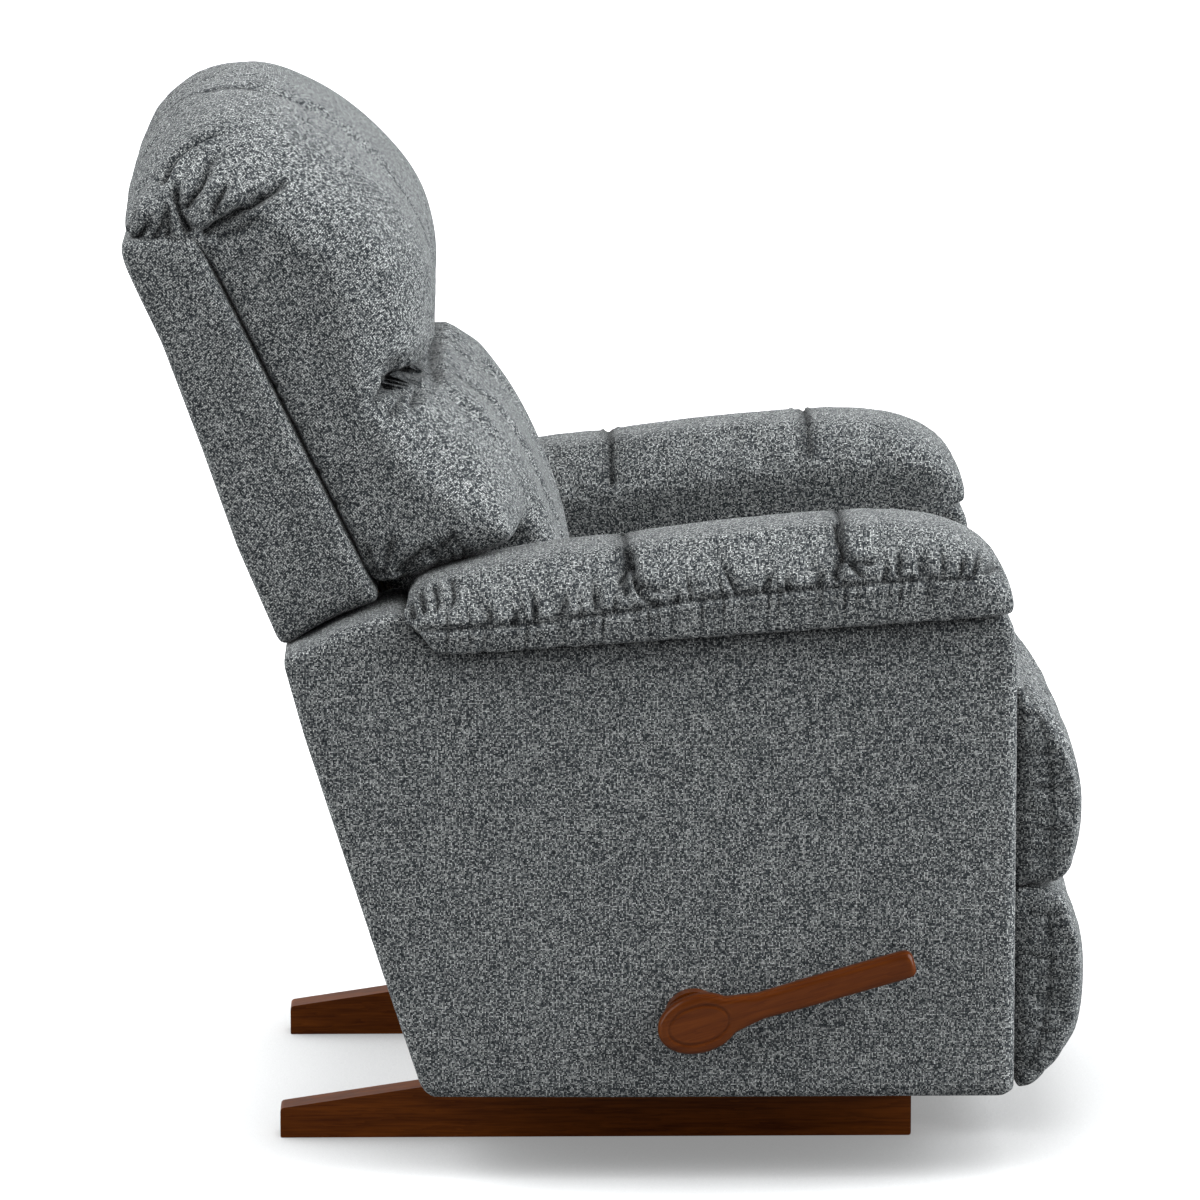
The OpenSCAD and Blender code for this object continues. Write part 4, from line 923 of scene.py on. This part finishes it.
# Folds on the side of the back: places, depth, width, and how much of each end fades out
BACK_FOLDS = [
    ([(-448, 998), (-442, 1012), (-431, 1025), (-417, 1035), (-404, 1042), (-388, 1046), (-366, 1046)],
     15, 3.6, 0.1, 0.5),
    ([(-433, 1006), (-432, 992), (-427, 973), (-418, 953)], 18, 3.6, 0.3, 0.02),
    ([(-422, 974), (-415, 992), (-399, 1016)], 15, 3.8, 0.15, 0.5),
    ([(-398, 966), (-390, 988), (-379, 1008)], 14, 3.8, 0.2, 0.5),
    ([(-408, 951), (-382, 968), (-355, 985), (-318, 1008)], 22, 4.4, 0.02, 0.3),
    ([(-396, 946), (-366, 960), (-336, 976)], 7, 7, 0.1, 0.5),
    ([(-475, 943), (-463, 958), (-455, 976)], 14, 3.8, 0.02, 0.5),
    ([(-455, 946), (-447, 962), (-444, 984)], 11, 3.6, 0.02, 0.6),
    ([(-440, 948), (-439, 964), (-443, 992)], 11, 3.6, 0.02, 0.6),
    ([(-483, 950), (-476, 968), (-473, 988)], 9, 3.6, 0.02, 0.6),
    ([(-408, 1000), (-398, 1022), (-380, 1034)], 6, 5, 0.3, 0.5),
    ([(-252, 764), (-234, 783), (-216, 794), (-199, 800), (-176, 806)], 19, 4.6, 0.3, 0.02),
    ([(-226, 760), (-212, 776), (-200, 790)], 9, 5, 0.35, 0.1),
    ([(-204, 764), (-194, 780), (-188, 792)], 8, 4.5, 0.35, 0.1),
    ([(-184, 768), (-178, 782), (-176, 794)], 6, 4, 0.35, 0.1),
    ([(-222, 816), (-210, 806), (-196, 801)], 6, 4.5, 0.4, 0.1),
    ([(-178, 642), (-196, 622), (-214, 604)], 9, 5.5, 0.35, 0.1),
    ([(-148, 652), (-166, 636), (-184, 620)], 6, 5.5, 0.35, 0.1),
    ([(-214, 652), (-222, 626), (-226, 602)], 7, 5, 0.35, 0.1),
    ([(-246, 646), (-240, 622), (-234, 602)], 7, 5, 0.35, 0.1),
]


def around_line(tree, y, start, end, steps):
    """A line round the head at one side depth, between two angles seen from its middle in side view."""
    inner = Vector((HEAD_MIDDLE[0] * MM, y * MM, HEAD_MIDDLE[1] * MM))
    outs = [Vector((math.cos(a), 0, math.sin(a))) for a in np.radians(np.linspace(start, end, steps))]
    return cast(tree, [(inner + out * 2.0, -out) for out in outs])


def back_folds(tree, across):
    """The folds on both flanks, the upright seams and the crease between head and lumbar part."""
    lines = []
    for side in (-1, 1):
        for places, *shape in BACK_FOLDS:
            lines.append((side_line(tree, places, side), *shape))
        y = side * CHANNEL_Y
        lines.append((front_line(tree, y, 500, 806), 16, 15, 0.02, 0.03))
        lines.append((front_line(tree, y, 500, 806), 5, 5, 0.02, 0.02))
        lines.append((around_line(tree, y, -42, 30, 80), 6, 10, 0.05, 0.6))
        lines.append((around_line(tree, y, -42, 165, 160), 0.6, 2.4, 0.02, 0.02))
        lines += [(around_line(tree, y + shift, 112, 165, 60), 2.2, 1.8, 0.3, 0.03) for shift in (-4, 4)]
    lines.append((across, 15, 10, 0.02, 0.02))
    lines.append((across, 9, 3.2, 0.02, 0.02))
    return lines


def front_line(tree, y, low, high):
    """A line up the front of the back at one side depth."""
    return cast(tree, [((0.4, y * MM, z * MM), (-1, 0, -0.1)) for z in np.linspace(low, high, 50)])


def crease_line(tree):
    """The crease across the back, between the head and the lumbar part."""
    return cast(tree, [((0.3, y * MM, 0.801), (-1, 0, 0)) for y in np.linspace(-372, 372, 90)])


# Seams on the back's flanks that gather the cloth: places, depth, reach, pitch and slant
WING_GATHERS = [
    ([(-226, 600), (-196, 612), (-160, 626), (-120, 636)], 4.5, 26, 22, 0.3),
    ([(-236, 604), (-262, 656), (-300, 730), (-352, 834)], 2.4, 16, 30, 0.3),
]


def make_back():
    cushion = back_cushion()
    remesh(cushion, 7, smooth=4)
    swell(cushion, back_held, cap=9, grow=0.02)
    remesh(cushion, 5, smooth=2)
    refine(cushion)
    tree = surface(cushion)
    across = crease_line(tree)
    gathers = [(across, 4.5, 26, 27, 0.2)]
    for side in (-1, 1):
        gathers += [(side_line(tree, places, side), *shape) for places, *shape in WING_GATHERS]
    gather(cushion, gathers, 7)
    press(cushion, back_folds(tree, across))
    dress(cushion, ["lumbar_cushion", "head_pillow"], TWEED_BACK)
    tree = surface(cushion)
    rows = [around_line(tree, side * CHANNEL_Y + shift, 96, 165, 80)
            for side in (-1, 1) for shift in (-6, 6)]
    stitches("head_stitching", cushion, rows, THREAD, "head_pillow")


def back_outline():
    """Side view of the rear shell, counter-clockwise from its lower rear corner."""
    outline = [(-331, 534)] + arc(BACK_PIVOT, 274, 126, 105, 5)
    outline += [(seam_at(z), z) for z in (588, 700, 830, 948)]
    outline += [(seam_at(952) - 3, 951), (-480, 948), (-489, 942), (-485, 922), (-472, 893), (-448, 842),
                (-409, 736), (-374, 635)]
    return subdivided(outline, 10)


def back_cover():
    """The rear panel of the back with its side strips."""
    outline = back_outline()
    steps = mirrored([(389, 8), (387.5, 5), (384.5, 2.5), (379, 0.8), (371, 0), (0, 0)])
    cover = loft("back_cover", [side_ring(y, inset(outline, gap)) for y, gap in steps])
    remesh(cover, 6, smooth=4)
    refine(cover)
    co, no = coords(cover.data), normals(cover.data)
    y, z = co[:, 1] / MM, co[:, 2] / MM
    behind = unit(-no[:, 0]) ** 2
    from_sides = unit((380 - np.abs(y)) / 120)
    inward = from_sides * unit((z - 534) / 60) * unit((960 - z) / 60)
    crown = 3.0 * inward + 0.9 * np.sin(y / 57) * np.sin(z / 71 + 1.1) * inward
    set_coords(cover.data, co + no * (behind * crown * MM)[:, None])
    dress(cover, ["back_shell"], TWEED_BACK)


make_back()
back_cover()
for side_name, side_sign in SIDES:
    arm_side(side_name, side_sign)
    arm_pillow(side_name, side_sign)


# Legrest and seat
LEG_HALF = 262
# Seam between each pad's front and its side strip, seen from the side
LEG_SEAM = [
    (430, 470), (441, 450), (452, 410), (457, 365), (458, 320), (456, 285), (452, 262), (455, 240),
    (458, 184), (455, 131), (446, 95), (432, 66),
]
# Side views of the two pads, counter-clockwise from the lower rear corner
UPPER_PAD = [
    (417.5, 262), (440, 260), (464, 262), (478, 276), (484, 302), (486, 338), (482, 376), (470, 414),
    (449, 447), (431, 468), (423, 477), (417.5, 478), (417.5, 420), (417.5, 340),
]
LOWER_PAD = [
    (417.5, 86), (424, 48), (430, 43), (446, 52), (464, 72), (478, 101), (486, 134), (488, 175),
    (484, 217), (476, 245), (464, 256), (440, 258), (417.5, 257), (417.5, 170),
]


def leg_held(co, no):
    """The rear, the side seams and the notch between the two pads are sewn down."""
    x, y, z = co.T
    rear = unit((432 - x) / 10)
    boxing = np.exp(-((np.abs(y) - LEG_HALF + 3) / 7) ** 2) * np.exp(-((x - 455) / 9) ** 2)
    notch = np.exp(-((z - 260) / 7) ** 2) * (x > 455)
    return np.maximum.reduce([rear, boxing, notch])


def leg_pad(name, outline, centre, node, seed):
    ring = spline(outline, 5)
    steps = mirrored([(LEG_HALF, 0.86), (LEG_HALF - 2, 0.92), (LEG_HALF - 7, 0.962), (LEG_HALF - 18, 0.988),
                      (LEG_HALF - 40, 1.0), (0, 1.0)])
    pad = loft(name, [side_ring(y, drawn_in(ring, centre, k)) for y, k in steps])
    remesh(pad, 6, smooth=4)
    swell(pad, leg_held, cap=9, grow=0.03)
    refine(pad)
    tree = surface(pad)
    low, high = min(p[1] for p in outline), max(p[1] for p in outline)
    seam = [p for p in LEG_SEAM if low + 4 < p[1] < high - 4]
    runs = [side_line(tree, seam, side) for side in (-1, 1)]
    gather(pad, [(run, 4.0, 24, 17, 0.2) for run in runs], seed)
    press(pad, [(run, 1.5, 2.4, 0.03, 0.03) for run in runs])
    dress(pad, [node], TWEED)


leg_pad("legrest_pad_upper", UPPER_PAD, (448, 370), "legrest_upper_pad", 21)
leg_pad("legrest_pad_lower", LOWER_PAD, (448, 160), "legrest_lower_pad", 22)


# Side view of the seat pad, counter-clockwise from the lower rear corner, with its bolster in front
SEAT_TOP = 536
SEAT_PAD = [
    (-20, 469), (120, 468.5), (330, 468.5), (362, 472), (396, 492), (424, 494), (433, 506), (430, 524),
    (410, SEAT_TOP), (360, SEAT_TOP), (220, SEAT_TOP - 7), (100, SEAT_TOP - 18), (10, 508), (-20, 498),
]
SEAT_SIDE_SEAM = [(0, 500), (120, 512), (260, 519), (380, 520), (418, 512)]
SEAT_CROSS_SEAM_X = 0.352


def seat_held(co, no):
    """The underside and the front lip are held."""
    x, y, z = co.T
    return np.maximum(unit((480 - z) / 8), unit((497 - z) / 6) * (x > 350))


def seat_cushion():
    ring = spline(SEAT_PAD, 5)
    steps = mirrored([(265, 0.72), (263.5, 0.84), (259, 0.92), (250, 0.965), (232, 0.99), (200, 1.0),
                      (0, 1.0)])
    rings = [side_ring(y, drawn_in(ring, (200, 500), 1 - (1 - k) * 0.2, k)) for y, k in steps]
    seat = loft("seat_pad", rings)
    remesh(seat, 6, smooth=4)
    swell(seat, seat_held, cap=16, grow=0.0)
    refine(seat)
    tree = surface(seat)
    lines = [(side_line(tree, SEAT_SIDE_SEAM, side), 3, 3, 0.03, 0.03) for side in (-1, 1)]
    across = cast(tree, [((SEAT_CROSS_SEAM_X, y * MM, 1.0), DOWN) for y in np.linspace(-250, 250, 60)])
    lines.append((across, 4, 4, 0.04, 0.04))
    press(seat, lines)
    dress(seat, ["seat_cushion"], TWEED)


seat_cushion()


# The cloth that bends round the back pivot: radius, thickness, angles of its ends and half width
FLAP_RADIUS, FLAP_THICK, FLAP_START, FLAP_END, FLAP_HALF = 164, 4, 2, 98, 234


def gap_flap():
    """The stiffened cloth that closes the gap between seat and back."""
    outer = arc(BACK_PIVOT, FLAP_RADIUS, FLAP_START, FLAP_END, 40)
    inner = arc(BACK_PIVOT, FLAP_RADIUS - FLAP_THICK, FLAP_END, FLAP_START, 40)
    steps = [(FLAP_HALF, 1.0), (FLAP_HALF - 1.5, 0.0), (1.5 - FLAP_HALF, 0.0), (-FLAP_HALF, 1.0)]
    sheet = loft("gap_flap", [side_ring(y, inset(outer + inner, gap)) for y, gap in steps])
    dress(sheet, ["seat_gap_flap"], TWEED_BACK)


gap_flap()


def rigid_cover(name, node, material=TWEED):
    """Cloth over a stiff panel: the panel's own form, evened out and softened."""
    cover = linked(name, frame["nodes"][node].data.copy())
    remesh(cover, 4, smooth=3)
    dress(cover, [node], material)


# Middle of the lever's head in side view, half lengths of its oval groove, and their lean
LEVER_HEAD = (88, 168)
LEVER_OVAL = (31, 19)
LEVER_LEAN = 16


def make_lever():
    """The wooden lever with eased edges and the bare oval groove on its head."""
    lever = linked("lever", frame["nodes"]["lever_handle"].data.copy())
    remesh(lever, 1.8, smooth=9)
    refine(lever)
    tree = surface(lever)
    lean = math.radians(LEVER_LEAN)
    ring = []
    for a in np.linspace(0, 2 * math.pi, 73):
        along, up = LEVER_OVAL[0] * math.cos(a), LEVER_OVAL[1] * math.sin(a)
        ring.append((LEVER_HEAD[0] + along * math.cos(lean) - up * math.sin(lean),
                     LEVER_HEAD[1] + along * math.sin(lean) + up * math.cos(lean)))
    groove = side_line(tree, ring, -1, steps=2)
    press(lever, [(groove, 1.5, 0.9, 0.0, 0.0)])
    dress(lever, ["lever_handle"], HANDLE_WOOD)


make_lever()
rigid_cover("tail_cover", "back_tail", TWEED_BACK)
rigid_cover("apron_cover", "rear_apron")
rigid_cover("legrest_cover", "legrest_board")

finish_nodes()


# Floor, light and camera
SHADOW_REACH, SHADOW_POWER = 0.32, 1.4
FLOOR_SHADOW, FLOOR_OPEN, FLOOR_UNSEEN = (0.06, 0.06, 0.06), (0.64, 0.64, 0.64), (0.28, 0.28, 0.28)
FLOOR_GLOW = 0.26
# Direction, strength and spread in degrees
SUNS = {"key": ((-0.87, 0.06, -0.48), 6.8, 52), "rim": ((0.84, 0.03, -0.54), 3.8, 60)}
SUN_COLOR = (0.95, 0.98, 1.0)
SKY_ALL, SKY_FAR, SKY_ABOVE = 0.60, 0.70, 0.80


def floor():
    """A pale floor with a painted shadow: its colour darkens softly near the object."""
    plane = mesh_object("floor", [(-40, -40, 0), (40, -40, 0), (40, 40, 0), (-40, 40, 0)], [(0, 1, 2, 3)])
    material, n = new_material("floor_paper")
    seen = n.add("ShaderNodeLightPath").outputs["Is Camera Ray"]
    # painted shadow: ambient occlusion darkens the floor's colour near the object
    near = n.add("ShaderNodeAmbientOcclusion", {"Distance": SHADOW_REACH}, samples=8).outputs["AO"]
    painted_shadow = n.mix(n.math("POWER", near, SHADOW_POWER), FLOOR_SHADOW, FLOOR_OPEN)
    color = n.mix(seen, FLOOR_UNSEEN, painted_shadow)
    shader = n.add("ShaderNodeBsdfDiffuse", {"Color": color})
    glow = n.add("ShaderNodeEmission", {"Color": (1, 1, 1, 1), "Strength": n.times(seen, FLOOR_GLOW)})
    both = n.add("ShaderNodeAddShader", {0: shader.outputs[0], 1: glow.outputs[0]})
    n.add("ShaderNodeOutputMaterial", {"Surface": both.outputs[0]})
    plane.data.materials.append(material)


def sun(name, towards, strength, spread):
    lamp = bpy.data.lights.new(name, "SUN")
    lamp.energy = strength
    lamp.angle = math.radians(spread)
    lamp.color = SUN_COLOR
    linked(name, lamp).rotation_euler = Vector(towards).to_track_quat("-Z", "Y").to_euler()


def world():
    """A studio that is pale behind and beside the object, and dimmer on the near side."""
    sky = bpy.data.worlds.new("studio")
    sky.use_nodes = True
    sky.node_tree.nodes.clear()
    n = Nodes(sky.node_tree)
    towards = n.add("ShaderNodeSeparateXYZ", {0: n.add("ShaderNodeTexCoord").outputs["Generated"]})
    far = n.stretch(towards.outputs[1], -0.85, 0.15)
    above = n.stretch(towards.outputs[2], 0.2, 0.9)
    soft = n.plus(SKY_ALL, n.plus(n.times(far, SKY_FAR), n.times(above, SKY_ABOVE)))
    shiny = n.plus(0.04, n.times(n.stretch(towards.outputs[1], -0.6, 0.3), 0.96))
    path = n.add("ShaderNodeLightPath")
    reflected = n.math("MAXIMUM", path.outputs["Is Glossy Ray"], path.outputs["Is Transmission Ray"])
    strength = n.plus(soft, n.times(reflected, n.minus(shiny, soft)))
    seen = path.outputs["Is Camera Ray"]
    strength = n.plus(strength, n.times(seen, n.minus(1.0, strength)))
    back = n.add("ShaderNodeBackground", {"Color": (1, 1, 1, 1), "Strength": strength})
    n.add("ShaderNodeOutputWorld", {"Surface": back.outputs[0]})
    bpy.context.scene.world = sky


CAMERA_PLACE = (-0.1491, -7.957, 1.8262)
CAMERA_PITCH = math.radians(9.33)
CAMERA_YAW = math.radians(1.06)
CAMERA_LENS = 228.84


def camera():
    data = bpy.data.cameras.new("camera")
    data.lens = CAMERA_LENS
    data.sensor_width = 36
    data.clip_end = 200
    obj = linked("camera", data)
    obj.location = CAMERA_PLACE
    level = math.cos(CAMERA_PITCH)
    look = Vector((math.sin(CAMERA_YAW) * level, math.cos(CAMERA_YAW) * level, -math.sin(CAMERA_PITCH)))
    obj.rotation_euler = look.to_track_quat("-Z", "Y").to_euler()
    bpy.context.scene.camera = obj


floor()
world()
for sun_name, values in SUNS.items():
    sun(sun_name, *values)
camera()
bpy.context.scene.view_settings.view_transform = "Standard"
